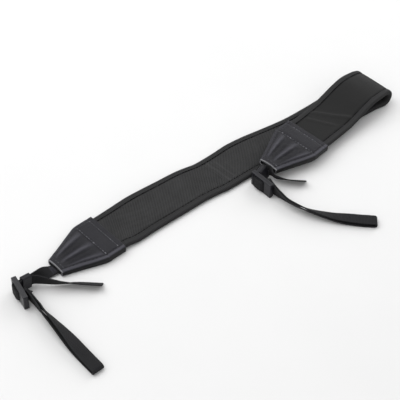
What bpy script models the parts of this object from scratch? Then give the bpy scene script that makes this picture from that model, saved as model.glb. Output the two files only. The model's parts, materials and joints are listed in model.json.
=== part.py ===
"""A padded camera neck strap, folded once and lying on a floor.

The band runs from the left tab to a fold and back over itself to the right tab.
From each tab's mouth a narrow webbing passes a keeper and a tri-glide, makes a
loop for the camera's lug and comes back as a free tail.
Metres, +Z up. The floor is at Z = 0 and the origin is under the middle of the whole strap.
"""

from math import cos, pi, radians, sin, tan

import bmesh
import bpy
from mathutils import Matrix, Vector

# Clearance between pieces that touch or are sewn together
GAP = 0.0003

# The padded band and its edge binding
BAND_WIDTH = 0.041
BAND_THICKNESS = 0.0045
LOWER_RUN = 0.294
UPPER_RUN = 0.0978
FOLD_HEIGHT = 0.0165
BINDING_WIDTH = 0.0048
BINDING_THICKNESS = 0.0007

# The leather end tabs
LEATHER_THICKNESS = 0.0010
TAB_LENGTH = 0.0525
TAB_STRAIGHT = 0.017
TAB_MARGIN = 0.0001
TAB_MOUTH_WIDTH = 0.0178
TAB_MOUTH_HEIGHT = 0.0052
TAB_MOUTH_ARCH = 0.0010
PLEAT_HEIGHT = 0.0011
PLEAT_COUNT = 3
BAND_END_INSET = 0.0015

# The narrow webbing
WEBBING_WIDTH = 0.010
WEBBING_THICKNESS = 0.0011
WEBBING_SEWN_LENGTH = 0.016
LEFT_LOOP_LENGTH = 0.094
LEFT_LOOP_OPENING = 0.0061
LEFT_TAIL_LENGTH = 0.047
RIGHT_LOOP_LENGTH = 0.100
RIGHT_LOOP_OPENING = 0.0058
RIGHT_TAIL_LENGTH = 0.029

# The tri-glides
GLIDE_LENGTH = 0.023
GLIDE_HEIGHT = 0.0138
GLIDE_THICKNESS = 0.0042
GLIDE_FAR_END = 0.0026
GLIDE_SLOT = 0.0035
GLIDE_BAR = 0.0060
GLIDE_BAR_THICKNESS = 0.0024
GLIDE_SLOT_PLAY = 0.0006
GLIDE_EDGE_RADIUS = 0.0006
GLIDE_CLEAR = 0.0010
GLIDE_TURN_RADIUS = 0.0016
BAR_CORNER = 0.0003
LEFT_GLIDE_YAW = 261.3
LEFT_GLIDE_SLOPE = 3
RIGHT_GLIDE_YAW = 271
RIGHT_GLIDE_SLOPE = 0

# The keepers
KEEPER_LENGTH = 0.0076
KEEPER_WALL = 0.0010
KEEPER_PLAY = 0.0004
KEEPER_CLEAR = 0.0003
KEEPER_BACK = 0.0012

# How the fold and the tabs lie, in degrees
FOLD_YAW = 93
LEFT_TAB_YAW = 183.5
RIGHT_TAB_YAW = 188
RIGHT_TAB_ROLL = 3.5

# The right tab's rise over the lower run, and its pivot's place as a share of the band's width
RIGHT_TAB_LIFT = 0.0017
RIGHT_PIVOT = 0.20

# How finely curves are drawn
BAND_STEPS = 2
FOLD_STEPS = 6
TAB_STEPS = 7
TAB_COLUMNS = 6 * PLEAT_COUNT
TURN_STEPS = 3
LEAD_STEPS = 4
LEAD_STATIONS = 14
LOOP_STEPS = 3
END_STEPS = 8
TAIL_STEPS = 3

# Colours
PAD_COLOUR = (0.035, 0.035, 0.037)
BINDING_COLOUR = (0.05, 0.05, 0.052)
LEATHER_COLOUR = (0.035, 0.035, 0.045)
WEBBING_COLOUR = (0.02, 0.02, 0.022)
PLASTIC_COLOUR = (0.045, 0.045, 0.055)

# The lower run, from the left tab to the fold. Columns: along is a share of LOWER_RUN, across a
# share of BAND_WIDTH, step a share of the tab's sole, roll and yaw in degrees. The near edge
# stays on the floor and the roll lifts the far one
LOWER_ROWS = [
    (0.050, -0.014, 0.30, 4.6, 94),
    (0.110, 0.008, 0.15, 6.2, 93),
    (0.160, 0.018, 0.15, 5.2, 92),
    (0.220, 0.028, 0.15, 3.2, 92),
    (0.280, 0.038, 0.15, 1.6, 93),
    (0.322, 0.022, 0.15, 0.4, 95),
    (0.355, -0.010, 0.15, 0.0, 97),
    (0.392, -0.010, 0.15, 0.0, 98),
    (0.430, -0.005, 0.15, 0.8, 97),
    (0.475, -0.004, 0.15, 2.6, 94),
    (0.530, -0.024, 0.15, 2.2, 91),
    (0.600, -0.070, 0.15, 0.7, 88),
    (0.680, -0.122, 0.15, 0.0, 87),
    (0.770, -0.122, 0.15, 0.0, 89),
    (0.860, -0.098, 0.15, 0.0, 91),
    (0.930, -0.108, 0.15, 0.0, 93),
]
CREST_ACROSS = -0.125

# The upper run, from the fold back to the right tab. Columns: back is a share of UPPER_RUN from
# the crest, rise a share of the fold's free height, step a share of the tab's sole, roll a share
# of RIGHT_TAB_ROLL
UPPER_ROWS = [
    (0.170, 1.30, 0.0, 0.70),
    (0.290, 1.43, 0.0, 1.50),
    (0.410, 1.20, 0.0, 1.80),
    (0.530, 0.75, 0.1, 1.80),
    (0.660, 0.33, 0.3, 1.60),
    (0.800, 0.05, 0.8, 1.20),
]

# Half the tab's width past its straight part. Columns: along and spread, both shares from the
# shoulder to the mouth
TAB_TAPER_ROWS = [(0.0, 1.0), (0.1, 0.93), (0.3, 0.72), (0.5, 0.5), (0.7, 0.29), (0.9, 0.09), (1.0, 0.0)]

# A lead runs from a tab's mouth to its tri-glide. Columns: along and aside are shares of the plan
# distance between them, climb a share of the height between them, roll in degrees
LEFT_LEAD_ROWS = [
    (0.10, 0.00, 0.06, -6),
    (0.24, 0.00, 0.28, -30),
    (0.38, 0.00, 0.50, -58),
    (0.52, 0.00, 0.68, -80),
    (0.68, 0.00, 0.80, -89),
    (0.86, 0.00, 0.90, -90),
]
RIGHT_LEAD_ROWS = [
    (0.10, 0.00, 0.05, -9),
    (0.21, 0.00, 0.20, -32),
    (0.32, 0.00, 0.42, -58),
    (0.44, 0.01, 0.65, -77),
    (0.66, 0.01, 0.88, -84),
    (0.86, 0.00, 0.97, -88),
]

# A loop's middle line from its glide. Columns: x and y from the glide as shares of the loop's
# length, rise a share of the slot's height above rest, roll in degrees, apart a share of the
# opening between the two strands
LEFT_LOOP_ROWS = [
    (0.047, -0.085, 0.60, 272, 0.00),
    (0.049, -0.160, 0.25, 277, 0.10),
    (0.049, -0.223, 0.08, 281, 0.30),
    (0.049, -0.298, 0.00, 288, 0.50),
    (0.051, -0.394, 0.00, 298, 0.75),
    (0.053, -0.510, 0.00, 312, 0.95),
    (0.054, -0.617, 0.00, 326, 1.00),
    (0.056, -0.713, 0.00, 341, 1.00),
    (0.059, -0.787, 0.00, 353, 1.00),
    (0.062, -0.862, 0.00, 358, 1.00),
    (0.066, -0.955, 0.00, 359, 0.95),
]
RIGHT_LOOP_ROWS = [
    (0.041, -0.113, 0.30, 275, 0.00),
    (0.044, -0.188, 0.10, 289, 0.00),
    (0.052, -0.275, 0.00, 303, 0.00),
    (0.073, -0.361, 0.00, 308, 0.05),
    (0.112, -0.455, 0.00, 312, 0.20),
    (0.166, -0.540, 0.00, 321, 0.40),
    (0.230, -0.630, 0.00, 335, 0.75),
    (0.298, -0.708, 0.00, 352, 0.98),
    (0.370, -0.785, 0.00, 359, 1.00),
    (0.446, -0.858, 0.00, 360, 0.97),
]

# A tail from its keeper's end. Columns: x and y as shares of the tail's length, rise a share of
# the keeper's height above rest, roll in degrees
LEFT_TAIL_ROWS = [
    (0.053, -0.020, 0.95, 270),
    (0.138, -0.097, 0.75, 275),
    (0.270, -0.240, 0.40, 289),
    (0.389, -0.342, 0.15, 302),
    (0.580, -0.485, 0.05, 309),
    (0.875, -0.755, 0.00, 311),
]
RIGHT_TAIL_ROWS = [
    (0.032, 0.010, 0.99, 261),
    (0.063, 0.000, 0.97, 261),
    (0.087, -0.035, 0.93, 261),
    (0.090, -0.075, 0.87, 263),
    (0.087, -0.120, 0.78, 270),
    (0.088, -0.180, 0.58, 286),
    (0.106, -0.255, 0.35, 300),
    (0.163, -0.350, 0.18, 304),
    (0.272, -0.480, 0.08, 305),
    (0.432, -0.650, 0.02, 307),
    (0.725, -0.930, 0.00, 308),
]

# Where each tri-glide stands in plan from its tab's mouth
LEFT_GLIDE_REACH = (-0.0360, -0.0078)
RIGHT_GLIDE_REACH = (-0.0153, -0.0107)

# What follows from the sizes above
SOLE = LEATHER_THICKNESS + GAP
TAB_HEIGHT = 2 * SOLE + BAND_THICKNESS
TAB_WIDTH = BAND_WIDTH + 2 * (SOLE + TAB_MARGIN)
LAYER_PITCH = WEBBING_THICKNESS + GAP
GLIDE_WINDOW_SHIFT = (GLIDE_LENGTH - GLIDE_BAR) / 2 - GLIDE_SLOT - GLIDE_FAR_END
UP = Vector((0, 0, 1))


def in_plan(yaw):
    """The unit vector at this many degrees from +X."""
    return Vector((cos(radians(yaw)), sin(radians(yaw)), 0))


def smooth(rows, steps):
    """Points on a smooth curve through rows of numbers, each row kept."""
    last = len(rows) - 1
    points = []
    for i in range(last):
        nearby = (rows[max(i - 1, 0)], rows[i], rows[i + 1], rows[min(i + 2, last)])
        for k in range(steps):
            t = k / steps
            weights = (
                -0.5 * t + t**2 - 0.5 * t**3,
                1 - 2.5 * t**2 + 1.5 * t**3,
                0.5 * t + 2 * t**2 - 1.5 * t**3,
                -0.5 * t**2 + 0.5 * t**3,
            )
            points.append([sum(w * v for w, v in zip(weights, values)) for values in zip(*nearby)])
    points.append(list(rows[last]))
    return points


def flat_row(centre, side):
    """A place and a direction across it as one row of six numbers."""
    return (*centre, *side)


def frames(rows, square=True):
    """A centre, a side and an up at each row. A squared side is turned square to the path."""
    centres = [Vector(row[:3]) for row in rows]
    last = len(rows) - 1
    found = []
    for i, row in enumerate(rows):
        along = (centres[min(i + 1, last)] - centres[max(i - 1, 0)]).normalized()
        side = Vector(row[3:6])
        if square:
            side -= along * along.dot(side)
        side.normalize()
        found.append((centres[i], side, along.cross(side).normalized()))
    return found


def material(name, colour, roughness):
    """A plain Principled material."""
    made = bpy.data.materials.new(name)
    made.use_nodes = True
    shader = made.node_tree.nodes["Principled BSDF"]
    shader.inputs["Base Color"].default_value = (*colour, 1.0)
    shader.inputs["Roughness"].default_value = roughness
    shader.inputs["Metallic"].default_value = 0.0
    return made


def finish(name, mesh, holder, look):
    """Turns a bmesh into a named object on the holder, with its faces outwards."""
    bmesh.ops.recalc_face_normals(mesh, faces=mesh.faces)
    data = bpy.data.meshes.new(name)
    mesh.to_mesh(data)
    mesh.free()
    data.materials.append(look)
    made = bpy.data.objects.new(name, data)
    made.parent = holder
    bpy.context.collection.objects.link(made)
    return made


def add_rings(mesh, stations, profiles):
    """The rings of points that a profile makes at each station, joined along the way."""
    rings = []
    for (centre, side, up), profile in zip(stations, profiles):
        rings.append([mesh.verts.new(centre + side * s + up * h) for s, h in profile])
    for first, second in zip(rings, rings[1:]):
        for k in range(len(first)):
            mesh.faces.new((first[k - 1], first[k], second[k], second[k - 1]))
    return rings


def sweep(name, stations, profiles, holder, look):
    """One closed skin through a profile at every station, capped at both ends."""
    mesh = bmesh.new()
    rings = add_rings(mesh, stations, profiles)
    mesh.faces.new(rings[0])
    mesh.faces.new(rings[-1])
    return finish(name, mesh, holder, look)


def sleeve(name, stations, outer, inner, holder, look):
    """A tube open at both ends, between an outer and an inner profile of as many points."""
    mesh = bmesh.new()
    outside = add_rings(mesh, stations, [outer] * len(stations))
    inside = add_rings(mesh, stations, [inner] * len(stations))
    for out_ring, in_ring in ((outside[0], inside[0]), (outside[-1], inside[-1])):
        for k in range(len(out_ring)):
            mesh.faces.new((out_ring[k - 1], out_ring[k], in_ring[k], in_ring[k - 1]))
    return finish(name, mesh, holder, look)


def chamfered(half_width, half_height, cut):
    """A rectangle's outline with its corners cut."""
    outline = []
    for across, up in ((1, 1), (-1, 1), (-1, -1), (1, -1)):
        corner = [
            (across * half_width, up * (half_height - cut)),
            (across * (half_width - cut), up * half_height),
        ]
        outline += corner if across == up else corner[::-1]
    return outline


def tab_point(tab, along, across, height):
    """A point of a tab's frame in the strap's."""
    return tab @ Vector((along, across, height))


def tab_frame(origin, yaw, roll):
    """A frame at the middle of a tab's wide end: X to its mouth, Y across it, Z out of its sole."""
    turn = Matrix.Rotation(radians(yaw), 4, "Z") @ Matrix.Rotation(radians(roll), 4, "X")
    return Matrix.Translation(origin) @ turn


def band_rows_in(tab, shares):
    """The rows of the band's middle line where it is inside a tab, at these shares of its reach."""
    height = SOLE + BAND_THICKNESS / 2
    reach = TAB_STRAIGHT - BAND_END_INSET
    side = tab.to_3x3() @ Vector((0, -1, 0))
    return [flat_row(tab_point(tab, share * reach, 0, height), side) for share in shares]


def lower_rows():
    """The rows of the lower run, from the left tab to the fold."""
    rows = []
    for along, across, step, roll, yaw in LOWER_ROWS:
        tilt = radians(roll)
        height = step * SOLE + (BAND_WIDTH * sin(tilt) + BAND_THICKNESS * cos(tilt)) / 2
        centre = (along * LOWER_RUN, across * BAND_WIDTH, height)
        rows.append(flat_row(centre, in_plan(yaw) * cos(tilt) + UP * sin(tilt)))
    return rows


def fold_rows():
    """The rows of the half circle at the fold, from the floor up."""
    radius = (FOLD_HEIGHT - BAND_THICKNESS) / 2
    side = in_plan(FOLD_YAW)
    outward = in_plan(FOLD_YAW - 90)
    crest = Vector((LOWER_RUN, CREST_ACROSS * BAND_WIDTH, FOLD_HEIGHT / 2))
    middle = crest - outward * (FOLD_HEIGHT / 2)
    rows = []
    for k in range(FOLD_STEPS // 2 + 1):
        angle = pi * (k / (FOLD_STEPS // 2) - 0.5)
        rows.append(flat_row(middle + outward * radius * cos(angle) + UP * radius * sin(angle), side))
    return rows


def perch(step, tilt):
    """How far the upper run stands above the lower one at a step and a tilt of its own."""
    return step * RIGHT_TAB_LIFT + RIGHT_PIVOT * BAND_WIDTH * tan(tilt)


def upper_rows():
    """The rows of the upper run, from the fold to the right tab."""
    crest = Vector((LOWER_RUN, CREST_ACROSS * BAND_WIDTH, 0))
    heading = in_plan(RIGHT_TAB_YAW)
    lying = BAND_THICKNESS + GAP
    rows = []
    for back, rise, step, roll in UPPER_ROWS:
        tilt = radians(roll * RIGHT_TAB_ROLL)
        height = lying + BAND_THICKNESS / 2 + step * SOLE + perch(step, tilt)
        height += rise * (FOLD_HEIGHT - BAND_THICKNESS - lying)
        yaw = FOLD_YAW + min(1, 2 * back) * (RIGHT_TAB_YAW - 90 - FOLD_YAW)
        side = in_plan(yaw) * cos(tilt) + UP * sin(tilt)
        rows.append(flat_row(crest + heading * back * UPPER_RUN + UP * height, side))
    return rows


def right_tab_frame():
    """The right tab lies on the lower run, its near side drooping over the edge."""
    crest = Vector((LOWER_RUN, CREST_ACROSS * BAND_WIDTH, 0))
    height = BAND_THICKNESS + GAP + perch(1, radians(RIGHT_TAB_ROLL))
    origin = crest + in_plan(RIGHT_TAB_YAW) * UPPER_RUN + UP * height
    return tab_frame(origin, RIGHT_TAB_YAW, -RIGHT_TAB_ROLL)


def add_band(left_tab, right_tab, holder):
    """The pad and the two bindings, on one line of sections."""
    rows = band_rows_in(left_tab, (1.0, 0.5, 0.0, -0.3)) + lower_rows() + fold_rows()
    rows += upper_rows() + band_rows_in(right_tab, (-0.3, 0.0, 0.5, 1.0))
    stations = frames(smooth(rows, BAND_STEPS), square=False)
    half = BAND_THICKNESS / 2
    edge = BAND_WIDTH / 2
    face = edge - BINDING_WIDTH
    step = BINDING_THICKNESS + GAP
    core = [(face - GAP, half), (face - GAP, half - step), (edge - step, half - step)]
    core += [(s, -h) for s, h in reversed(core)]
    pad = core + [(-s, h) for s, h in reversed(core)]
    sweep("neck_pad", stations, [pad] * len(stations), holder, material("pad_cloth", PAD_COLOUR, 0.8))
    outer = [(face, half), (edge - 0.35 * half, half), (edge, 0.45 * half)]
    inner = [(face, half - BINDING_THICKNESS), (edge - BINDING_THICKNESS, half - BINDING_THICKNESS)]
    wrap = outer + [(s, -h) for s, h in reversed(outer)]
    wrap += [(s, -h) for s, h in inner] + [(s, h) for s, h in reversed(inner)]
    tape = material("binding_tape", BINDING_COLOUR, 0.7)
    sweep("edge_binding_far", stations, [wrap] * len(stations), holder, tape)
    mirrored = [(-s, h) for s, h in wrap]
    sweep("edge_binding_near", stations, [mirrored] * len(stations), holder, tape)


def tab_taper(along):
    """How far along its tapering part a tab's section is, from 0 at the shoulder to 1 at the mouth."""
    return max(0.0, (along - TAB_STRAIGHT) / (TAB_LENGTH - TAB_STRAIGHT))


def tab_half_width(along):
    """Half a tab's width at a distance from its wide end."""
    share = tab_taper(along)
    for (start, wide), (end, narrow) in zip(TAB_TAPER_ROWS, TAB_TAPER_ROWS[1:]):
        if share <= end:
            spread = wide + (narrow - wide) * max(0.0, share - start) / (end - start)
            break
    return (TAB_MOUTH_WIDTH + spread * (TAB_WIDTH - TAB_MOUTH_WIDTH)) / 2


def tab_height(along):
    """The height of a tab's long edges above its sole's underside."""
    return TAB_HEIGHT + tab_taper(along) * (TAB_MOUTH_HEIGHT - TAB_HEIGHT)


def tab_top_profile(along):
    """The top panel's section: a sheet with pleats that fan out from the mouth."""
    taper = tab_taper(along)
    half = tab_half_width(along)
    pleat = PLEAT_HEIGHT * sin(pi * min(1.0, 1.15 * taper)) ** 0.8 if taper > 0 else 0.0
    outer = []
    for k in range(TAB_COLUMNS + 1):
        share = 2 * k / TAB_COLUMNS - 1
        ridge = 0.5 - 0.5 * cos(PLEAT_COUNT * pi * (share + 1))
        height = tab_height(along) + pleat * ridge + TAB_MOUTH_ARCH * taper * (1 - share**2)
        outer.append((share * half, height))
    return outer + [(s, h - LEATHER_THICKNESS) for s, h in reversed(outer)]


def tab_sole_profile(along):
    """The bottom panel's section: a tray with a wall along each side."""
    half = tab_half_width(along)
    wall = tab_height(along) - SOLE
    right = [(half, 0), (half, wall), (half - LEATHER_THICKNESS, wall)]
    right.append((half - LEATHER_THICKNESS, LEATHER_THICKNESS))
    return right + [(-s, h) for s, h in reversed(right)]


def add_tab(name, tab, holder):
    """The two leather panels of one tab."""
    places = [0.0, 0.5 * TAB_STRAIGHT, TAB_STRAIGHT]
    places += [TAB_STRAIGHT + k / TAB_STEPS * (TAB_LENGTH - TAB_STRAIGHT) for k in range(1, TAB_STEPS + 1)]
    turn = tab.to_3x3()
    side = turn @ Vector((0, 1, 0))
    up = turn @ Vector((0, 0, 1))
    stations = [(tab_point(tab, along, 0, 0), side, up) for along in places]
    leather = material(name + "_leather", LEATHER_COLOUR, 0.5)
    tops = [tab_top_profile(along) for along in places]
    soles = [tab_sole_profile(along) for along in places]
    sweep(name + "_top", stations, tops, holder, leather)
    sweep(name + "_bottom", stations, soles, holder, leather)


def glide_frame(mouth, reach, yaw, slope):
    """A tri-glide on its long side, its far end raised: X along it, Y up its height, Z its outer face."""
    length_way = in_plan(yaw) * cos(radians(slope)) - UP * sin(radians(slope))
    face_way = in_plan(yaw - 90)
    height_way = face_way.cross(length_way)
    rise = GLIDE_LENGTH / 2 * sin(radians(slope)) + GLIDE_HEIGHT / 2 * cos(radians(slope))
    centre = Vector((mouth.x + reach[0], mouth.y + reach[1], rise))
    turn = Matrix((length_way, height_way, face_way)).transposed().to_4x4()
    return Matrix.Translation(centre) @ turn


def box(name, size, frame, holder):
    """A box on a frame, with its faces out."""
    mesh = bmesh.new()
    bmesh.ops.create_cube(mesh, size=1.0, matrix=Matrix.Diagonal((*size, 1.0)))
    made = finish(name, mesh, holder, material(name, PLASTIC_COLOUR, 0.45))
    made.matrix_local = frame
    return made


def cut_box(body, name, size, shift, frame, holder):
    """Cuts a box out of a body with a hidden cutter."""
    cutter = box(name, size, frame @ Matrix.Translation(shift), holder)
    cutter.hide_render = True
    cutter.display_type = "WIRE"
    cut = body.modifiers.new(name, "BOOLEAN")
    cut.operation = "DIFFERENCE"
    cut.object = cutter


def add_glide(name, frame, holder):
    """A frame with two slots and a thinner bar between them, nearer to one end."""
    body = box(name, (GLIDE_LENGTH, GLIDE_HEIGHT, GLIDE_THICKNESS), frame, holder)
    rounding = body.modifiers.new("rounding", "BEVEL")
    rounding.width = GLIDE_EDGE_RADIUS
    rounding.segments = 2
    window = WEBBING_WIDTH + 2 * GLIDE_SLOT_PLAY
    middle = (GLIDE_BAR + GLIDE_SLOT) / 2
    for side in (-1, 1):
        shift = (side * middle - GLIDE_WINDOW_SHIFT, 0, 0)
        size = (GLIDE_SLOT, window, 2 * GLIDE_THICKNESS)
        cut_box(body, f"{name}_slot_cutter_{side}", size, shift, frame, holder)
        recess = (GLIDE_BAR + 2 * GLIDE_SLOT, window, GLIDE_THICKNESS)
        depth = (-GLIDE_WINDOW_SHIFT, 0, side * (GLIDE_BAR_THICKNESS + GLIDE_THICKNESS) / 2)
        cut_box(body, f"{name}_recess_cutter_{side}", recess, depth, frame, holder)


def over_bar(frame, layer):
    """The rows of a webbing layer from behind the far slot, over the bar, to behind the near slot."""
    corner_out = GLIDE_BAR_THICKNESS / 2 - BAR_CORNER
    corner_along = GLIDE_BAR / 2 - BAR_CORNER
    radius = BAR_CORNER + GAP + WEBBING_THICKNESS / 2 + layer * LAYER_PITCH
    behind = -GLIDE_THICKNESS / 2 - GLIDE_CLEAR
    bend = [(behind, corner_along + radius), (behind / 2, corner_along + radius)]
    for k in range(TURN_STEPS + 1):
        angle = pi / 2 * (1 - k / TURN_STEPS)
        bend.append((corner_out + radius * cos(angle), corner_along + radius * sin(angle)))
    bend = [(out, -along) for out, along in bend] + bend[::-1]
    side = frame.to_3x3() @ Vector((0, -1, 0))
    return [(*(frame @ Vector((along - GLIDE_WINDOW_SHIFT, 0, out))), *side) for out, along in bend]


def slot_exit(frame, way):
    """The middle of the two layers, just behind the far slot (-1) or the near one (1)."""
    middle = way * (GLIDE_BAR / 2 + GAP + WEBBING_THICKNESS + GAP / 2) - GLIDE_WINDOW_SHIFT
    return frame @ Vector((middle, 0, -GLIDE_THICKNESS / 2 - GLIDE_CLEAR))


def rolled_side(heading, roll):
    """The side of a ribbon that goes this way, rolled from level by this many degrees."""
    level = Vector((-heading.y, heading.x, 0)).normalized()
    return level * cos(radians(roll)) + UP * sin(radians(roll))


def rest_height(roll, apart):
    """The height at which the middle of one or two strands rests on the floor."""
    edge = WEBBING_WIDTH / 2 * abs(sin(radians(roll)))
    return edge + (apart + WEBBING_THICKNESS) / 2 * abs(cos(radians(roll)))


def lead_rows(tab, frame, rows):
    """The middle line of the webbing's two layers, from inside the tab to behind the far slot."""
    height = SOLE + WEBBING_THICKNESS / 2 + LAYER_PITCH / 2
    level = tab.to_3x3() @ Vector((0, 1, 0))
    inside = (TAB_LENGTH - WEBBING_SEWN_LENGTH, TAB_LENGTH - 0.4 * WEBBING_SEWN_LENGTH, TAB_LENGTH)
    found = [flat_row(tab_point(tab, along, 0, height), level) for along in inside]
    mouth = Vector(found[-1][:3])
    entry = slot_exit(frame, -1)
    way = entry - mouth
    heading = Vector((way.x, way.y, 0))
    left = Vector((-way.y, way.x, 0))
    for along, aside, climb, roll in rows:
        place = mouth + heading * along + left * aside + UP * way.z * climb
        found.append(flat_row(place, rolled_side(heading, roll)))
    side = frame.to_3x3() @ Vector((0, -1, 0))
    found.append(flat_row(entry, side))
    return smooth(found, LEAD_STEPS)


def offset_rows(rows, amounts):
    """Rows moved out along their ups by an amount each."""
    return [flat_row(centre + up * out, side) for (centre, side, up), out in zip(frames(rows), amounts)]


def part_of(rows, start, end, count):
    """Rows at even distances along a line of rows, between two distances from its last row."""
    centres = [Vector(row[:3]) for row in rows]
    runs = [0.0]
    for first, second in zip(centres, centres[1:]):
        runs.append(runs[-1] + (second - first).length)
    found = []
    for k in range(count + 1):
        place = runs[-1] - start + (start - end) * k / count
        i = max(j for j in range(len(runs) - 1) if j == 0 or runs[j] <= place)
        t = (place - runs[i]) / (runs[i + 1] - runs[i])
        found.append([a + (b - a) * t for a, b in zip(rows[i], rows[i + 1])])
    return found


def run_length(rows):
    """The length of a line of rows."""
    centres = [Vector(row[:3]) for row in rows]
    return sum((second - first).length for first, second in zip(centres, centres[1:]))


def loop_rows(frame, table, length, opening):
    """The out strand, the turn and the back strand of a loop, from the near slot and back to it."""
    turn_side = frame.to_3x3() @ Vector((0, -1, 0))
    start = frame.inverted() @ slot_exit(frame, 1)
    rows = []
    for k in range(TURN_STEPS + 1):
        angle = pi / 2 * k / TURN_STEPS
        reach = Vector((1 - cos(angle), 0, -sin(angle))) * GLIDE_TURN_RADIUS
        rows.append((*(frame @ (start + reach)), *turn_side, LAYER_PITCH))
    centre = frame.translation
    places = [Vector(rows[-1][:3])] + [centre + Vector((x, y, 0)) * length for x, y, *_ in table]
    drop = rows[-1][2] - rest_height(table[0][3], LAYER_PITCH)
    for i, (_, _, rise, roll, apart) in enumerate(table, start=1):
        heading = places[min(i + 1, len(table))] - places[i - 1]
        gap = LAYER_PITCH + apart * (opening - LAYER_PITCH)
        height = rest_height(roll, gap) + rise * drop
        rows.append((places[i].x, places[i].y, height, *rolled_side(heading, roll), gap))
    rows = smooth(rows, LOOP_STEPS)
    halves = [row[6] / 2 for row in rows]
    out = offset_rows(rows, [-half for half in halves])
    back = offset_rows(rows, halves)
    middle, side, up = frames(rows)[-1]
    onward = side.cross(up)
    turn = []
    for k in range(1, END_STEPS):
        angle = pi * k / END_STEPS
        place = middle - up * halves[-1] * cos(angle) + onward * halves[-1] * sin(angle)
        turn.append(flat_row(place, side))
    return out[1:] + turn + back[:0:-1]


def tail_rows(start, table, length):
    """The free tail, from the keeper's end to its cut end."""
    begin = Vector(start[:3])
    places = [begin] + [begin + Vector((x, y, 0)) * length for x, y, *_ in table]
    drop = begin.z - rest_height(table[0][3], 0)
    rows = [start]
    for i, (_, _, rise, roll) in enumerate(table, start=1):
        heading = places[min(i + 1, len(table))] - places[i - 1]
        height = rest_height(roll, 0) + rise * drop
        rows.append((places[i].x, places[i].y, height, *rolled_side(heading, roll)))
    return smooth(rows, TAIL_STEPS)[1:]


def lead_stations(tab, frame, table):
    """The lead's rows, evenly spaced. The keeper stands between the third and the second last of them."""
    lead = lead_rows(tab, frame, table)
    held = KEEPER_BACK + KEEPER_LENGTH
    rows = part_of(lead, run_length(lead), held, LEAD_STATIONS) + part_of(lead, KEEPER_BACK, 0, 1)
    side = (Vector(rows[-3][3:6]) + Vector(rows[-2][3:6])).normalized()
    rows[-3:-1] = [flat_row(row[:3], side) for row in rows[-3:-1]]
    return rows


def add_webbing(side, tab, frame, lead_table, loop, tail, holder):
    """One side's webbing in a single length, with the keeper that holds its tail."""
    whole = lead_stations(tab, frame, lead_table)
    fixed = offset_rows(whole, [-LAYER_PITCH / 2] * len(whole))
    loose = offset_rows(whole, [LAYER_PITCH / 2] * len(whole))[-3:]
    leaving = Vector(loose[0][:3]) + (Vector(loose[0][:3]) - Vector(loose[1][:3])).normalized() * KEEPER_CLEAR
    loose.insert(0, flat_row(leaving, Vector(loose[0][3:6])))
    path = fixed[:-1] + over_bar(frame, 1)[:-1] + loop_rows(frame, *loop)
    path += over_bar(frame, 0)[::-1] + loose[-2::-1]
    path += tail_rows(loose[0], *tail)
    edge = WEBBING_WIDTH / 2
    half = WEBBING_THICKNESS / 2
    section = [(edge, half), (-edge, half), (-edge, -half), (edge, -half)]
    web = material("webbing_" + side, WEBBING_COLOUR, 0.85)
    sweep("webbing_" + side, frames(path), [section] * len(path), holder, web)
    stack = LAYER_PITCH / 2 + WEBBING_THICKNESS / 2 + GAP
    reach = WEBBING_WIDTH / 2 + KEEPER_PLAY
    inner_ring = chamfered(reach, stack, KEEPER_PLAY / 4)
    outer_ring = chamfered(reach + KEEPER_WALL, stack + KEEPER_WALL, KEEPER_WALL)
    plastic = material("keeper_" + side, PLASTIC_COLOUR, 0.45)
    sleeve("keeper_" + side, frames(whole[-3:-1]), outer_ring, inner_ring, holder, plastic)


def bounds(holder):
    """The box around all the visible pieces, as its least and greatest corners."""
    bpy.context.view_layer.update()
    graph = bpy.context.evaluated_depsgraph_get()
    points = []
    for piece in holder.children:
        if piece.hide_render:
            continue
        shown = piece.evaluated_get(graph)
        points += [shown.matrix_world @ corner.co for corner in shown.to_mesh().vertices]
        shown.to_mesh_clear()
    least = Vector([min(point[axis] for point in points) for axis in range(3)])
    most = Vector([max(point[axis] for point in points) for axis in range(3)])
    return least, most


def build():
    """The whole strap, with its origin on the floor under its middle."""
    for old in list(bpy.data.objects):
        bpy.data.objects.remove(old)
    holder = bpy.data.objects.new("strap_frame", None)
    bpy.context.collection.objects.link(holder)
    left_tab = tab_frame(Vector((0, 0, 0)), LEFT_TAB_YAW, 0)
    right_tab = right_tab_frame()
    add_band(left_tab, right_tab, holder)
    sides = (
        ("left", left_tab, (LEFT_GLIDE_REACH, LEFT_GLIDE_YAW, LEFT_GLIDE_SLOPE), LEFT_LEAD_ROWS,
         (LEFT_LOOP_ROWS, LEFT_LOOP_LENGTH, LEFT_LOOP_OPENING), (LEFT_TAIL_ROWS, LEFT_TAIL_LENGTH)),
        ("right", right_tab, (RIGHT_GLIDE_REACH, RIGHT_GLIDE_YAW, RIGHT_GLIDE_SLOPE), RIGHT_LEAD_ROWS,
         (RIGHT_LOOP_ROWS, RIGHT_LOOP_LENGTH, RIGHT_LOOP_OPENING), (RIGHT_TAIL_ROWS, RIGHT_TAIL_LENGTH)),
    )
    for side, tab, stand, lead_table, loop, tail in sides:
        add_tab("tab_" + side, tab, holder)
        frame = glide_frame(tab_point(tab, TAB_LENGTH, 0, 0), *stand)
        add_glide("tri_glide_" + side, frame, holder)
        add_webbing(side, tab, frame, lead_table, loop, tail, holder)
    least, most = bounds(holder)
    holder.location = (-(least.x + most.x) / 2, -(least.y + most.y) / 2, -least.z)


build()
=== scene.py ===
"""The looks of a padded camera neck strap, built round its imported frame.

The band, the tabs and the webbing follow the same lines as the solids, drawn finer.
Metres, +Z up. A surface's UV map is in millimetres: round the piece and along it.
"""
import json
import random
from math import cos, exp, floor, pi, radians, sin, tan

import bmesh
import bpy
from mathutils import Matrix, Vector

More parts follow.
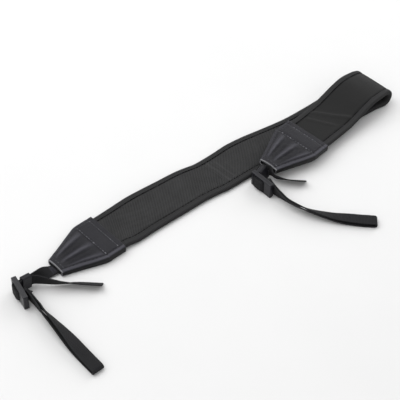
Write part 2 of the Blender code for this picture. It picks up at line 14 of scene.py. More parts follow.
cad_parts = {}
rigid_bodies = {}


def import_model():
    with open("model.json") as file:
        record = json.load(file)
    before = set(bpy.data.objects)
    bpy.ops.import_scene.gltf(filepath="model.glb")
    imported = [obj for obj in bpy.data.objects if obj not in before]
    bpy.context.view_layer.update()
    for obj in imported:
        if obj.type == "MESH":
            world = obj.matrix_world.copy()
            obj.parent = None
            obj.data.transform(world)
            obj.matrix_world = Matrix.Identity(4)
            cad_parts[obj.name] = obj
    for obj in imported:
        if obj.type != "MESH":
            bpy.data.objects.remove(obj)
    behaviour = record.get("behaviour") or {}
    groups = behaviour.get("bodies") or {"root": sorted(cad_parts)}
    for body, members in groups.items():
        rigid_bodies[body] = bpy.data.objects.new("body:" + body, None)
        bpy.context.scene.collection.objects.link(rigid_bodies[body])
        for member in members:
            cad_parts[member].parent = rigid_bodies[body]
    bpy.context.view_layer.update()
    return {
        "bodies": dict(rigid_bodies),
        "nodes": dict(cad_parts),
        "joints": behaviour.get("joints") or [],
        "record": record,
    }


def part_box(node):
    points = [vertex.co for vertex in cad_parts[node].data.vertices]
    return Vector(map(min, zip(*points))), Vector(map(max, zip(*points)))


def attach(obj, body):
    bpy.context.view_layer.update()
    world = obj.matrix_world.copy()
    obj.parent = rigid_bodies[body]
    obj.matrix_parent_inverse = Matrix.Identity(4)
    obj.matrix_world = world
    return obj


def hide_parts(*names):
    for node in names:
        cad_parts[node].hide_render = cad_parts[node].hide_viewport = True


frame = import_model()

random.seed(7)

# Clearance between pieces that touch or are sewn together
GAP = 0.0003

# The padded band and its edge binding
BAND_WIDTH = 0.041
BAND_THICKNESS = 0.0045
LOWER_RUN = 0.294
UPPER_RUN = 0.0978
FOLD_HEIGHT = 0.0165
BINDING_WIDTH = 0.0048
BINDING_THICKNESS = 0.0007

# The leather end tabs
LEATHER_THICKNESS = 0.0010
TAB_LENGTH = 0.0525
TAB_STRAIGHT = 0.017
TAB_MARGIN = 0.0001
TAB_MOUTH_WIDTH = 0.0178
TAB_MOUTH_HEIGHT = 0.0052
TAB_MOUTH_ARCH = 0.0010
PLEAT_HEIGHT = 0.0011
PLEAT_COUNT = 3
BAND_END_INSET = 0.0015

# The narrow webbing
WEBBING_WIDTH = 0.010
WEBBING_THICKNESS = 0.0011
WEBBING_SEWN_LENGTH = 0.016
LEFT_LOOP_LENGTH = 0.094
LEFT_TAIL_LENGTH = 0.047
RIGHT_LOOP_LENGTH = 0.100
RIGHT_TAIL_LENGTH = 0.029

# The tri-glides
GLIDE_LENGTH = 0.023
GLIDE_HEIGHT = 0.0138
GLIDE_THICKNESS = 0.0042
GLIDE_FAR_END = 0.0026
GLIDE_SLOT = 0.0035
GLIDE_BAR = 0.0060
GLIDE_BAR_THICKNESS = 0.0024
GLIDE_CLEAR = 0.0010
GLIDE_TURN_RADIUS = 0.0016
BAR_CORNER = 0.0003
LEFT_GLIDE_YAW = 261.3
LEFT_GLIDE_SLOPE = 3
RIGHT_GLIDE_YAW = 271
RIGHT_GLIDE_SLOPE = 0

# The keepers
KEEPER_LENGTH = 0.0076
KEEPER_CLEAR = 0.0003
KEEPER_BACK = 0.0012

# How the tabs and the fold lie, in degrees but for the lift in metres and the pivot, a share of the width
FOLD_YAW = 93
LEFT_TAB_YAW = 183.5
RIGHT_TAB_YAW = 188
RIGHT_TAB_ROLL = 3.5
RIGHT_TAB_LIFT = 0.0017
RIGHT_PIVOT = 0.20

# How finely curves are drawn
BAND_STEPS = 2
FOLD_STEPS = 6
TAB_COLUMNS = 6 * PLEAT_COUNT
TURN_STEPS = 3
LEAD_STEPS = 4
LEAD_STATIONS = 14
LOOP_STEPS = 3
END_STEPS = 8
TAIL_STEPS = 3

# The lower run, from the left tab to the fold. Columns: along is a share of LOWER_RUN, across a
# share of BAND_WIDTH, step a share of the tab's sole, roll and yaw in degrees. The near edge
# stays on the floor and the roll lifts the far one
LOWER_ROWS = [
    (0.050, -0.014, 0.30, 4.6, 94),
    (0.110, 0.008, 0.15, 6.2, 93),
    (0.160, 0.018, 0.15, 5.2, 92),
    (0.220, 0.028, 0.15, 3.2, 92),
    (0.280, 0.038, 0.15, 1.6, 93),
    (0.322, 0.022, 0.15, 0.4, 95),
    (0.355, -0.010, 0.15, 0.0, 97),
    (0.392, -0.010, 0.15, 0.0, 98),
    (0.430, -0.005, 0.15, 0.8, 97),
    (0.475, -0.004, 0.15, 2.6, 94),
    (0.530, -0.024, 0.15, 2.2, 91),
    (0.600, -0.070, 0.15, 0.7, 88),
    (0.680, -0.122, 0.15, 0.0, 87),
    (0.770, -0.122, 0.15, 0.0, 89),
    (0.860, -0.098, 0.15, 0.0, 91),
    (0.930, -0.108, 0.15, 0.0, 93),
]
CREST_ACROSS = -0.125

# The upper run, from the fold back to the right tab. Columns: back is a share of UPPER_RUN from
# the crest, rise a share of the fold's free height, step a share of the tab's sole, roll a share
UPPER_ROWS = [
    (0.170, 1.30, 0.0, 0.70),
    (0.290, 1.43, 0.0, 1.50),
    (0.410, 1.20, 0.0, 1.80),
    (0.530, 0.75, 0.1, 1.80),
    (0.660, 0.33, 0.3, 1.60),
    (0.800, 0.05, 0.8, 1.20),
]

# Half the tab's width past its straight part. Columns: along and spread, both shares from the
# shoulder to the mouth
TAB_TAPER_ROWS = [(0.0, 1.0), (0.1, 0.93), (0.3, 0.72), (0.5, 0.5), (0.7, 0.29), (0.9, 0.09), (1.0, 0.0)]

# A lead runs from a tab's mouth to its tri-glide. Columns: along and aside are shares of the plan
# distance between them, climb a share of the height between them, roll in degrees
LEFT_LEAD_ROWS = [
    (0.10, 0.00, 0.06, -6),
    (0.24, 0.00, 0.28, -30),
    (0.38, 0.00, 0.50, -58),
    (0.52, 0.00, 0.68, -80),
    (0.68, 0.00, 0.80, -89),
    (0.86, 0.00, 0.90, -90),
]
RIGHT_LEAD_ROWS = [
    (0.10, 0.00, 0.05, -9),
    (0.21, 0.00, 0.20, -32),
    (0.32, 0.00, 0.42, -58),
    (0.44, 0.01, 0.65, -77),
    (0.66, 0.01, 0.88, -84),
    (0.86, 0.00, 0.97, -88),
]

# A loop's middle line from its glide. Columns: x and y from the glide as shares of the loop's
# length, rise a share of the slot's height above rest, roll in degrees, apart a share of the
# opening between the two strands
LEFT_LOOP_ROWS = [
    (0.047, -0.085, 0.60, 272, 0.00),
    (0.049, -0.160, 0.25, 277, 0.10),
    (0.049, -0.223, 0.08, 281, 0.30),
    (0.049, -0.298, 0.00, 298, 0.40),
    (0.051, -0.394, 0.00, 308, 0.50),
    (0.053, -0.510, 0.00, 322, 0.70),
    (0.054, -0.617, 0.00, 336, 0.90),
    (0.056, -0.713, 0.00, 350, 1.00),
    (0.059, -0.787, 0.00, 356, 1.00),
    (0.062, -0.862, 0.00, 358, 1.00),
    (0.066, -0.955, 0.00, 359, 0.95),
]
RIGHT_LOOP_ROWS = [
    (0.041, -0.113, 0.30, 275, 0.00),
    (0.044, -0.188, 0.10, 289, 0.00),
    (0.052, -0.275, 0.00, 303, 0.00),
    (0.073, -0.361, 0.00, 308, 0.05),
    (0.112, -0.455, 0.00, 318, 0.05),
    (0.166, -0.540, 0.00, 331, 0.10),
    (0.230, -0.630, 0.00, 345, 0.40),
    (0.298, -0.708, 0.00, 355, 0.85),
    (0.370, -0.785, 0.00, 359, 1.00),
    (0.446, -0.858, 0.00, 360, 0.97),
]

# A tail from its keeper's end. Columns: x and y as shares of the tail's length, rise a share of
# the keeper's height above rest, roll in degrees
LEFT_TAIL_ROWS = [
    (0.053, -0.020, 0.95, 270),
    (0.138, -0.097, 0.75, 275),
    (0.270, -0.240, 0.40, 289),
    (0.389, -0.342, 0.15, 302),
    (0.580, -0.485, 0.05, 317),
    (0.875, -0.755, 0.00, 321),
]
RIGHT_TAIL_ROWS = [
    (0.032, 0.010, 0.99, 261),
    (0.063, 0.000, 0.97, 261),
    (0.087, -0.035, 0.93, 261),
    (0.090, -0.075, 0.87, 263),
    (0.087, -0.120, 0.78, 270),
    (0.088, -0.180, 0.58, 286),
    (0.106, -0.255, 0.35, 300),
    (0.163, -0.350, 0.18, 304),
    (0.272, -0.480, 0.08, 312),
    (0.432, -0.650, 0.02, 317),
    (0.725, -0.930, 0.00, 318),
]

# Where each tri-glide stands in plan from its tab's mouth
LEFT_GLIDE_REACH = (-0.0360, -0.0078)
RIGHT_GLIDE_REACH = (-0.0153, -0.0107)

# What follows from the sizes above
SOLE = LEATHER_THICKNESS + GAP
TAB_HEIGHT = 2 * SOLE + BAND_THICKNESS
TAB_WIDTH = BAND_WIDTH + 2 * (SOLE + TAB_MARGIN)
LAYER_PITCH = WEBBING_THICKNESS + GAP
GLIDE_WINDOW_SHIFT = (GLIDE_LENGTH - GLIDE_BAR) / 2 - GLIDE_SLOT - GLIDE_FAR_END
UP = Vector((0, 0, 1))
CREST = Vector((LOWER_RUN, CREST_ACROSS * BAND_WIDTH, 0))


def in_plan(yaw):
    """The unit vector at this many degrees from +X."""
    return Vector((cos(radians(yaw)), sin(radians(yaw)), 0))


def smooth(rows, steps):
    """Points on a smooth curve through rows of numbers, each row kept."""
    last = len(rows) - 1
    points = []
    for i in range(last):
        nearby = (rows[max(i - 1, 0)], rows[i], rows[i + 1], rows[min(i + 2, last)])
        for k in range(steps):
            t = k / steps
            weights = (
                -0.5 * t + t**2 - 0.5 * t**3,
                1 - 2.5 * t**2 + 1.5 * t**3,
                0.5 * t + 2 * t**2 - 1.5 * t**3,
                -0.5 * t**2 + 0.5 * t**3,
            )
            points.append([sum(w * v for w, v in zip(weights, values)) for values in zip(*nearby)])
    points.append(list(rows[last]))
    return points


def near_side(frame):
    """The way to the near side of a tab's or a tri-glide's frame."""
    return frame.to_3x3() @ Vector((0, -1, 0))


def flat_row(centre, side):
    """A place and a direction across it as one row of six numbers."""
    return (*centre, *side)


def frames(rows, square=True):
    """A centre, a side and an up at each row. A squared side is turned square to the path."""
    centres = [Vector(row[:3]) for row in rows]
    last = len(rows) - 1
    found = []
    for i, row in enumerate(rows):
        along = (centres[min(i + 1, last)] - centres[max(i - 1, 0)]).normalized()
        side = Vector(row[3:6])
        if square:
            side -= along * along.dot(side)
        side.normalize()
        found.append((centres[i], side, along.cross(side).normalized()))
    return found


def tab_point(tab, along, across=0, height=0):
    """A point of a tab's frame in the strap's."""
    return tab @ Vector((along, across, height))


def tab_frame(origin, yaw, roll):
    """A frame at the middle of a tab's wide end: X to its mouth, Y across it, Z out of its sole."""
    turn = Matrix.Rotation(radians(yaw), 4, "Z") @ Matrix.Rotation(radians(roll), 4, "X")
    return Matrix.Translation(origin) @ turn


def band_rows_in(tab, shares):
    """The rows of the band's middle line where it is inside a tab, at these shares of its reach."""
    height = SOLE + BAND_THICKNESS / 2
    reach = TAB_STRAIGHT - BAND_END_INSET
    side = near_side(tab)
    return [flat_row(tab_point(tab, share * reach, 0, height), side) for share in shares]


def lower_rows():
    """The rows of the lower run, from the left tab to the fold."""
    rows = []
    for along, across, step, roll, yaw in LOWER_ROWS:
        tilt = radians(roll)
        height = step * SOLE + (BAND_WIDTH * sin(tilt) + BAND_THICKNESS * cos(tilt)) / 2
        centre = (along * LOWER_RUN, across * BAND_WIDTH, height)
        rows.append(flat_row(centre, in_plan(yaw) * cos(tilt) + UP * sin(tilt)))
    return rows


def fold_rows():
    """The rows of the half circle at the fold, from the floor up."""
    radius = (FOLD_HEIGHT - BAND_THICKNESS) / 2
    side = in_plan(FOLD_YAW)
    outward = in_plan(FOLD_YAW - 90)
    middle = CREST + UP * (FOLD_HEIGHT / 2) - outward * (FOLD_HEIGHT / 2)
    rows = []
    for k in range(FOLD_STEPS // 2 + 1):
        angle = pi * (k / (FOLD_STEPS // 2) - 0.5)
        rows.append(flat_row(middle + outward * radius * cos(angle) + UP * radius * sin(angle), side))
    return rows


def perch(step, tilt):
    """How far the upper run stands above the lower one at a step and a tilt of its own."""
    return step * RIGHT_TAB_LIFT + RIGHT_PIVOT * BAND_WIDTH * tan(tilt)


def upper_rows():
    """The rows of the upper run, from the fold to the right tab."""
    heading = in_plan(RIGHT_TAB_YAW)
    lying = BAND_THICKNESS + GAP
    rows = []
    for back, rise, step, roll in UPPER_ROWS:
        tilt = radians(roll * RIGHT_TAB_ROLL)
        height = lying + BAND_THICKNESS / 2 + step * SOLE + perch(step, tilt)
        height += rise * (FOLD_HEIGHT - BAND_THICKNESS - lying)
        yaw = FOLD_YAW + min(1, 2 * back) * (RIGHT_TAB_YAW - 90 - FOLD_YAW)
        side = in_plan(yaw) * cos(tilt) + UP * sin(tilt)
        rows.append(flat_row(CREST + heading * back * UPPER_RUN + UP * height, side))
    return rows


def right_tab_frame():
    """The right tab lies on the lower run, its near side drooping over the edge."""
    height = BAND_THICKNESS + GAP + perch(1, radians(RIGHT_TAB_ROLL))
    origin = CREST + in_plan(RIGHT_TAB_YAW) * UPPER_RUN + UP * height
    return tab_frame(origin, RIGHT_TAB_YAW, -RIGHT_TAB_ROLL)


def tab_taper(along):
    """How far along its tapering part a tab's section is, from 0 at the shoulder to 1 at the mouth."""
    return max(0.0, (along - TAB_STRAIGHT) / (TAB_LENGTH - TAB_STRAIGHT))


def tab_half_width(along):
    """Half a tab's width at a distance from its wide end."""
    share = tab_taper(along)
    for (start, wide), (end, narrow) in zip(TAB_TAPER_ROWS, TAB_TAPER_ROWS[1:]):
        if share <= end:
            spread = wide + (narrow - wide) * max(0.0, share - start) / (end - start)
            break
    return (TAB_MOUTH_WIDTH + spread * (TAB_WIDTH - TAB_MOUTH_WIDTH)) / 2


def tab_height(along):
    """The height of a tab's long edges above its sole's underside."""
    return TAB_HEIGHT + tab_taper(along) * (TAB_MOUTH_HEIGHT - TAB_HEIGHT)


def glide_frame(mouth, reach, yaw, slope):
    """A tri-glide on its long side, its far end raised: X along it, Y up its height, Z its outer face."""
    length_way = in_plan(yaw) * cos(radians(slope)) - UP * sin(radians(slope))
    face_way = in_plan(yaw - 90)
    height_way = face_way.cross(length_way)
    rise = GLIDE_LENGTH / 2 * sin(radians(slope)) + GLIDE_HEIGHT / 2 * cos(radians(slope))
    centre = Vector((mouth.x + reach[0], mouth.y + reach[1], rise))
    turn = Matrix((length_way, height_way, face_way)).transposed().to_4x4()
    return Matrix.Translation(centre) @ turn


def over_bar(frame, layer):
    """The rows of a webbing layer from behind the far slot, over the bar, to behind the near slot."""
    corner_out = GLIDE_BAR_THICKNESS / 2 - BAR_CORNER
    corner_along = GLIDE_BAR / 2 - BAR_CORNER
    radius = BAR_CORNER + GAP + WEBBING_THICKNESS / 2 + layer * LAYER_PITCH
    behind = -GLIDE_THICKNESS / 2 - GLIDE_CLEAR
    bend = [(behind, corner_along + radius), (behind / 2, corner_along + radius)]
    for k in range(TURN_STEPS + 1):
        angle = pi / 2 * (1 - k / TURN_STEPS)
        bend.append((corner_out + radius * cos(angle), corner_along + radius * sin(angle)))
    bend = [(out, -along) for out, along in bend] + bend[::-1]
    side = near_side(frame)
    return [(*(frame @ Vector((along - GLIDE_WINDOW_SHIFT, 0, out))), *side) for out, along in bend]


def slot_exit(frame, way):
    """The middle of the two layers, just behind the far slot (-1) or the near one (1)."""
    middle = way * (GLIDE_BAR / 2 + GAP + WEBBING_THICKNESS + GAP / 2) - GLIDE_WINDOW_SHIFT
    return frame @ Vector((middle, 0, -GLIDE_THICKNESS / 2 - GLIDE_CLEAR))


def rolled_side(heading, roll):
    """The side of a ribbon that goes this way, rolled from level by this many degrees."""
    level = Vector((-heading.y, heading.x, 0)).normalized()
    return level * cos(radians(roll)) + UP * sin(radians(roll))


def rest_height(roll, apart):
    """The height at which the middle of one or two strands rests on the floor."""
    edge = WEBBING_WIDTH / 2 * abs(sin(radians(roll)))
    return edge + (apart + WEBBING_THICKNESS) / 2 * abs(cos(radians(roll)))


def lead_rows(tab, frame, rows):
    """The middle line of the webbing's two layers, from inside the tab to behind the far slot."""
    height = SOLE + WEBBING_THICKNESS / 2 + LAYER_PITCH / 2
    level = tab.to_3x3() @ Vector((0, 1, 0))
    inside = (TAB_LENGTH - WEBBING_SEWN_LENGTH, TAB_LENGTH - 0.4 * WEBBING_SEWN_LENGTH, TAB_LENGTH)
    found = [flat_row(tab_point(tab, along, 0, height), level) for along in inside]
    mouth = Vector(found[-1][:3])
    entry = slot_exit(frame, -1)
    way = entry - mouth
    heading = Vector((way.x, way.y, 0))
    left = Vector((-way.y, way.x, 0))
    for along, aside, climb, roll in rows:
        place = mouth + heading * along + left * aside + UP * way.z * climb
        found.append(flat_row(place, rolled_side(heading, roll)))
    side = near_side(frame)
    found.append(flat_row(entry, side))
    return smooth(found, LEAD_STEPS)


def offset_rows(rows, amounts):
    """Rows moved out along their ups by an amount each."""
    return [flat_row(centre + up * out, side) for (centre, side, up), out in zip(frames(rows), amounts)]


def runs_of(centres):
    """The distance of every point along a line of points."""
    centres = list(centres)
    runs = [0.0]
    for first, second in zip(centres, centres[1:]):
        runs.append(runs[-1] + (second - first).length)
    return runs


def part_of(rows, start, end, count):
    """Rows at even distances along a line of rows, between two distances from its last row."""
    runs = runs_of(Vector(row[:3]) for row in rows)
    found = []
    for k in range(count + 1):
        place = runs[-1] - start + (start - end) * k / count
        i = max(j for j in range(len(runs) - 1) if j == 0 or runs[j] <= place)
        t = (place - runs[i]) / (runs[i + 1] - runs[i])
        found.append([a + (b - a) * t for a, b in zip(rows[i], rows[i + 1])])
    return found


def lying_rows(start, origin, table, length, opening=0.0):
    """One or two strands that sink from a place to the floor, by a loop's or a tail's table."""
    layer = LAYER_PITCH if opening else 0.0
    places = [start] + [origin + Vector((x, y, 0)) * length for x, y, *_ in table]
    drop = start.z - rest_height(table[0][3], layer)
    rows = []
    for i, (_, _, rise, roll, *apart) in enumerate(table, start=1):
        heading = places[min(i + 1, len(table))] - places[i - 1]
        gap = layer + sum(apart) * (opening - layer)
        height = rest_height(roll, gap) + rise * drop
        rows.append((places[i].x, places[i].y, height, *rolled_side(heading, roll), gap))
    return rows


def loop_rows(frame, table, length, opening):
    """The out strand, the turn and the back strand of a loop, from the near slot and back to it."""
    turn_side = near_side(frame)
    start = frame.inverted() @ slot_exit(frame, 1)
    rows = []
    for k in range(TURN_STEPS + 1):
        angle = pi / 2 * k / TURN_STEPS
        reach = Vector((1 - cos(angle), 0, -sin(angle))) * GLIDE_TURN_RADIUS
        rows.append((*(frame @ (start + reach)), *turn_side, LAYER_PITCH))
    rows += lying_rows(Vector(rows[-1][:3]), frame.translation, table, length, opening)
    rows = smooth(rows, LOOP_STEPS)
    halves = [row[6] / 2 for row in rows]
    out = offset_rows(rows, [-half for half in halves])
    back = offset_rows(rows, halves)
    middle, side, up = frames(rows)[-1]
    onward = side.cross(up)
    turn = []
    for k in range(1, END_STEPS):
        angle = pi * k / END_STEPS
        place = middle - up * halves[-1] * cos(angle) + onward * halves[-1] * sin(angle)
        turn.append(flat_row(place, side))
    return out[1:] + turn + back[:0:-1]


def tail_rows(start, table, length):
    """The free tail, from the keeper's end to its cut end."""
    begin = Vector(start[:3])
    return smooth([start] + [row[:6] for row in lying_rows(begin, begin, table, length)], TAIL_STEPS)[1:]


def lead_stations(tab, frame, table):
    """The lead's rows, straight along the keeper, whose ends are the last three rows' first two."""
    lead = lead_rows(tab, frame, table)
    whole = runs_of(Vector(row[:3]) for row in lead)[-1]
    rows = part_of(lead, whole, KEEPER_BACK + KEEPER_LENGTH, LEAD_STATIONS) + part_of(lead, KEEPER_BACK, 0, 1)
    side = (Vector(rows[-3][3:6]) + Vector(rows[-2][3:6])).normalized()
    rows[-3:-1] = [flat_row(row[:3], side) for row in rows[-3:-1]]
    return rows


# How finely the looks are drawn
BAND_FINE = 18
WEBBING_FINE = 4
PAD_COLUMNS = 34
TAB_STATIONS = 110
TAB_POINTS = 72
SOLE_STATIONS = 50

# The pad's section: its two faces are wide, and its edges are thin enough for the bindings
HALF_THICKNESS = BAND_THICKNESS / 2
PAD_FACE = BAND_WIDTH / 2 - BINDING_WIDTH - GAP
PAD_EDGE = BAND_WIDTH / 2 - BINDING_THICKNESS - GAP
PAD_RIM = HALF_THICKNESS - BINDING_THICKNESS - GAP

# The channel along each binding and the thread in it
CHANNEL_DEPTH = 0.00075
CHANNEL_WIDTH = 0.0008
CHANNEL_SOFT = 0.0009
SEAM_ACROSS = BAND_WIDTH / 2 - BINDING_WIDTH - 0.0005
SEAM_DEPTH = 0.00050
SEAM_CLEAR = 0.0006
SEAM_STITCH = 0.0025
SEAM_ROOM = 0.0023
SEAM_RADIUS = 0.00048
STITCH_PITCH = 0.0029

# The pad's fine shape, and how strong the painted highlights beside its creases and on its wrinkles are
PAD_CROWN = 0.00012
RIPPLE_HEIGHT = 0.00006
WAVER = 0.00012
CREASE_FADE = 0.006
CREASE_SPAN = 0.03
CREASE_GLOW = 0.14
GLOW_BESIDE = 0.0013
WRINKLE_GLOW = 0.12
GLOW_DEPTH = 0.0005

# The tabs' seams, their stitches and the leather's fine shape
TAB_SEAM = 0.0163
TAB_END_SEAM = 0.0043
TAB_HEM = 0.0030
TAB_SEAM_SINK = 0.00042
TAB_LINE_SINK = 0.0003
TAB_PUFF = 0.0007
TAB_EDGE_FALL = 0.0005
TAB_WAVE = 0.00012
TAB_RIM = 0.00045
SOLE_BULGE = 0.00018
SOLE_FACE = 0.00014
TAB_STITCH = 0.0020
TAB_ROOM = 0.0021
SEAM_THREAD = 0.00044
END_SEAM_THREAD = 0.00026
MOUTH_THREAD = 0.00028
SIDE_THREAD = 0.00016
SOLE_THREAD = 0.00012
MOUTH_TACK = TAB_LENGTH - 0.0034
MOUTH_TACKS = (-0.0042, -0.0012, 0.0018, 0.0048)

# The webbing's picks, and the bars of stitches where it leaves its tab
PICK = 0.0011
PICK_DEPTH = 0.00011
BAR_COUNT = 4
BAR_START = 0.0012
BAR_PITCH = 0.0009
BAR_REACH = 0.0038
BAR_THREAD = 0.00026

# The dressed loops are narrower than their solids, whose openings between the strands are wider.
# The dressed loops are narrower than their solids, which leave room for a check of their openings
LEFT_LOOK_OPENING = 0.0040
RIGHT_LOOK_OPENING = 0.0036

# The studio
WORLD_STRENGTH = 0.70
VIEW_TARGET = (0.083, -0.013, 0)
VIEW_BACK = (-0.445, -0.5495, 0.70711)
VIEW_DISTANCE = 0.9

# The lamps. Columns: name, place, size, power
LAMPS = [
    ("key_lamp", (-0.30, 0.50, 1.00), 1.1, 9.0),
    ("fill_lamp", (0.95, 0.20, 0.60), 0.9, 5.0),
    ("front_lamp", (-0.75, -0.75, 0.75), 0.9, 1.8),
]

# The creases across the lower run. Columns: the place along the band, its place at the far edge
# less that at the near one, the least and most across, the depth and the width, in metres
CREASES = [
    (0.1270, 0.0010, -0.0172, 0.0150, 0.00080, 0.0011),
    (0.1331, 0.0012, -0.0180, 0.0120, 0.00050, 0.0010),
    (0.1388, 0.0016, -0.0160, 0.0060, 0.00018, 0.0012),
    (0.1205, -0.0010, -0.0120, 0.0090, 0.00016, 0.0012),
]
# The wrinkles across the upper run, with the same columns. These stand up
WRINKLES = [
    (0.3790, 0.0200, -0.0150, 0.0160, 0.00080, 0.0019),
    (0.3915, 0.0150, -0.0110, 0.0130, 0.00060, 0.0017),
]


def mix(first, second, share):
    """The value this share of the way between two."""
    return first + (second - first) * share


def bump_at(value, width):
    """A soft ridge of height 1."""
    return exp(-((value / width) ** 2))


def held(value, low, high, soft):
    """1 between two limits, falling to 0 outside them."""
    return max(0.0, min(1.0, (value - low) / soft + 0.5, (high - value) / soft + 0.5))


def place_at(stations, runs, distance):
    """The centre, side and up at a distance along the stations."""
    i = max(0, min(len(runs) - 2, sum(1 for run in runs if run <= distance) - 1))
    t = (distance - runs[i]) / (runs[i + 1] - runs[i])
    centre, side, up = (mix(a, b, t) for a, b in zip(stations[i], stations[i + 1]))
    return centre, side.normalized(), up.normalized()


# Materials

def add(tree, kind, inputs=None, **settings):
    """A node, with its settings and with its inputs set or linked."""
    made = tree.nodes.new("ShaderNode" + kind)
    for name, value in settings.items():
        setattr(made, name, value)
    for name, value in (inputs or {}).items():
        if isinstance(value, bpy.types.NodeSocket):
            tree.links.new(value, made.inputs[name])
        else:
            made.inputs[name].default_value = value
    return made


def calc(tree, operation, first, second=0.5):
    """The result of one sum of two values or sockets."""
    return add(tree, "Math", {0: first, 1: second}, operation=operation).outputs[0]


def weighted(tree, *parts):
    """The sum of values, each times its weight."""
    total = None
    for value, weight in parts:
        part = calc(tree, "MULTIPLY", value, weight)
        total = part if total is None else calc(tree, "ADD", total, part)
    return total


def millimetres(tree, across=1.0, along=1.0, turn=0.0):
    """The UV map in threads: this many millimetres across and along make one."""
    source = add(tree, "UVMap", uv_map="UVMap").outputs[0]
    scale = (1 / across, 1 / along, 1.0)
    spun = add(tree, "Mapping", {"Vector": source, "Rotation": (0, 0, radians(turn))})
    return add(tree, "Mapping", {"Vector": spun.outputs[0], "Scale": scale}).outputs[0]


def ribs(tree, vector, direction, distortion=0.0):
    """Rounded ribs, one for every thread this way."""
    inputs = {"Vector": vector, "Scale": pi / 10, "Distortion": distortion}
    inputs |= {"Detail": 1.0, "Detail Scale": 2.0}
    return add(tree, "TexWave", inputs, bands_direction=direction).outputs["Fac"]


def weave(tree, vector):
    """The height of a plain weave, one thread to a unit."""
    checks = add(tree, "TexChecker", {"Vector": vector, "Scale": 1.0}).outputs["Fac"]
    blend = {"Factor": checks, "A": ribs(tree, vector, "X", 0.15), "B": ribs(tree, vector, "Y", 0.15)}
    return add(tree, "Mix", blend).outputs[0]


def clouds(tree, vector, scale, detail=3.0):
    """Soft noise."""
    inputs = {"Vector": vector, "Scale": scale, "Detail": detail, "Roughness": 0.6}
    return add(tree, "TexNoise", inputs).outputs["Fac"]


def spread(tree, value, low, high):
    """A value from 0 to 1 as one from low to high."""
    return add(tree, "MapRange", {"Value": value, "To Min": low, "To Max": high}).outputs[0]


def shades(tree, value, *stops):
    """A colour ramp. Each stop is a place and a colour."""
    ramp = add(tree, "ValToRGB", {"Fac": value})
    points = ramp.color_ramp.elements
    while len(points) < len(stops):
        points.new(0.5)
    for point, (place, colour) in zip(points, stops):
        point.position = place
        point.color = (*colour, 1.0)
    return ramp.outputs[0]


def blended(tree, share, first, second, way="MIX"):
    """Two colours mixed by a share."""
    made = add(tree, "Mix", data_type="RGBA", blend_type=way)
    for index, value in ((0, share), (6, first), (7, second)):
        if isinstance(value, bpy.types.NodeSocket):
            tree.links.new(value, made.inputs[index])
        else:
            made.inputs[index].default_value = value if index == 0 else (*value, 1.0)
    return made.outputs[2]


def relief(tree, height, distance, under=None):
    """Bump from a height, on top of another bump."""
    inputs = {"Height": height, "Distance": distance, "Strength": 1.0}
    if under is not None:
        inputs["Normal"] = under
    return add(tree, "Bump", inputs).outputs[0]


def new_look(name):
    """An empty Principled material: the material, its tree and its shader."""
    made = bpy.data.materials.new(name)
    made.use_nodes = True
    return made, made.node_tree, made.node_tree.nodes["Principled BSDF"]


def connect(tree, shader, colour, roughness, normal, specular, sheen=None):
    """Links the parts of a look to its shader, and sets its steady values: sheen is its weight and
    its roughness.
    """
    for name, value in (("Base Color", colour), ("Roughness", roughness), ("Normal", normal)):
        tree.links.new(value, shader.inputs[name])
    shader.inputs["Specular IOR Level"].default_value = specular
    if sheen:
        shader.inputs["Sheen Weight"].default_value = sheen[0]
        shader.inputs["Sheen Roughness"].default_value = sheen[1]


def wear_and_light_of(tree):
    """The value the mesh holds at each point, mostly higher on raised parts: wear on the bindings, the
    webbing, the soles and the stitches, and painted highlight and painted shade on the pad and the tabs'
    tops.
    """
    return add(tree, "Attribute", attribute_name="wear_and_painted_light").outputs["Fac"]


def pits(tree, vector):
    """The height of a knitted mesh: a small pit at every crossing."""
    crossing = calc(tree, "MULTIPLY", ribs(tree, vector, "X", 0.1), ribs(tree, vector, "Y", 0.1))
    return calc(tree, "SUBTRACT", 1.0, calc(tree, "POWER", crossing, 0.65))


def cloth_look(name, dark, light, threads, turn, depth, rough, sheen, knit=False):
    """Woven or knitted cloth: threads or pits, slubs and soft patches of wear."""
    made, tree, shader = new_look(name)
    vector = millimetres(tree, *threads, turn=turn)
    flat = millimetres(tree)
    height = pits(tree, vector) if knit else weave(tree, vector)
    patches = clouds(tree, flat, 0.06, 4.0)
    slubs = clouds(tree, flat, 1.7, 2.0)
    tone = weighted(tree, (height, 0.45), (slubs, 0.35), (patches, 0.25))
    colour = shades(tree, tone, (0.25, dark), (0.80, light))
    # Paler where the mesh's value is high: painted highlight on the pad's creases and wrinkles, and wear on
    # the webbing's edges
    colour = blended(tree, wear_and_light_of(tree), colour, tuple(2.1 * value + 0.012 for value in light))
    rougher = spread(tree, weighted(tree, (patches, 0.6), (slubs, 0.4)), *rough)
    normal = relief(tree, height, depth, relief(tree, slubs, depth * 0.7))
    connect(tree, shader, colour, rougher, normal, 0.05, (sheen, 0.45))
    return made


def tape_look(name, dark, light, rib, depth, sheen):
    """Ribbed tape: ribs straight across it, with a fine grain of thread."""
    made, tree, shader = new_look(name)
    vector = millimetres(tree, rib, rib)
    flat = millimetres(tree)
    across = ribs(tree, vector, "Y", 0.25)
    thread = clouds(tree, millimetres(tree, 0.35, 1.2), 1.6, 2.0)
    patches = clouds(tree, flat, 0.09, 3.0)
    tone = weighted(tree, (across, 0.55), (thread, 0.45))
    colour = shades(tree, tone, (0.20, dark), (0.85, light))
    colour = blended(tree, wear_and_light_of(tree), colour, tuple(2.2 * value + 0.012 for value in light))
    rougher = spread(tree, patches, 0.62, 0.86)
    normal = relief(tree, across, depth, relief(tree, thread, depth * 0.6))
    connect(tree, shader, colour, rougher, normal, 0.05, (sheen, 0.4))
    return made


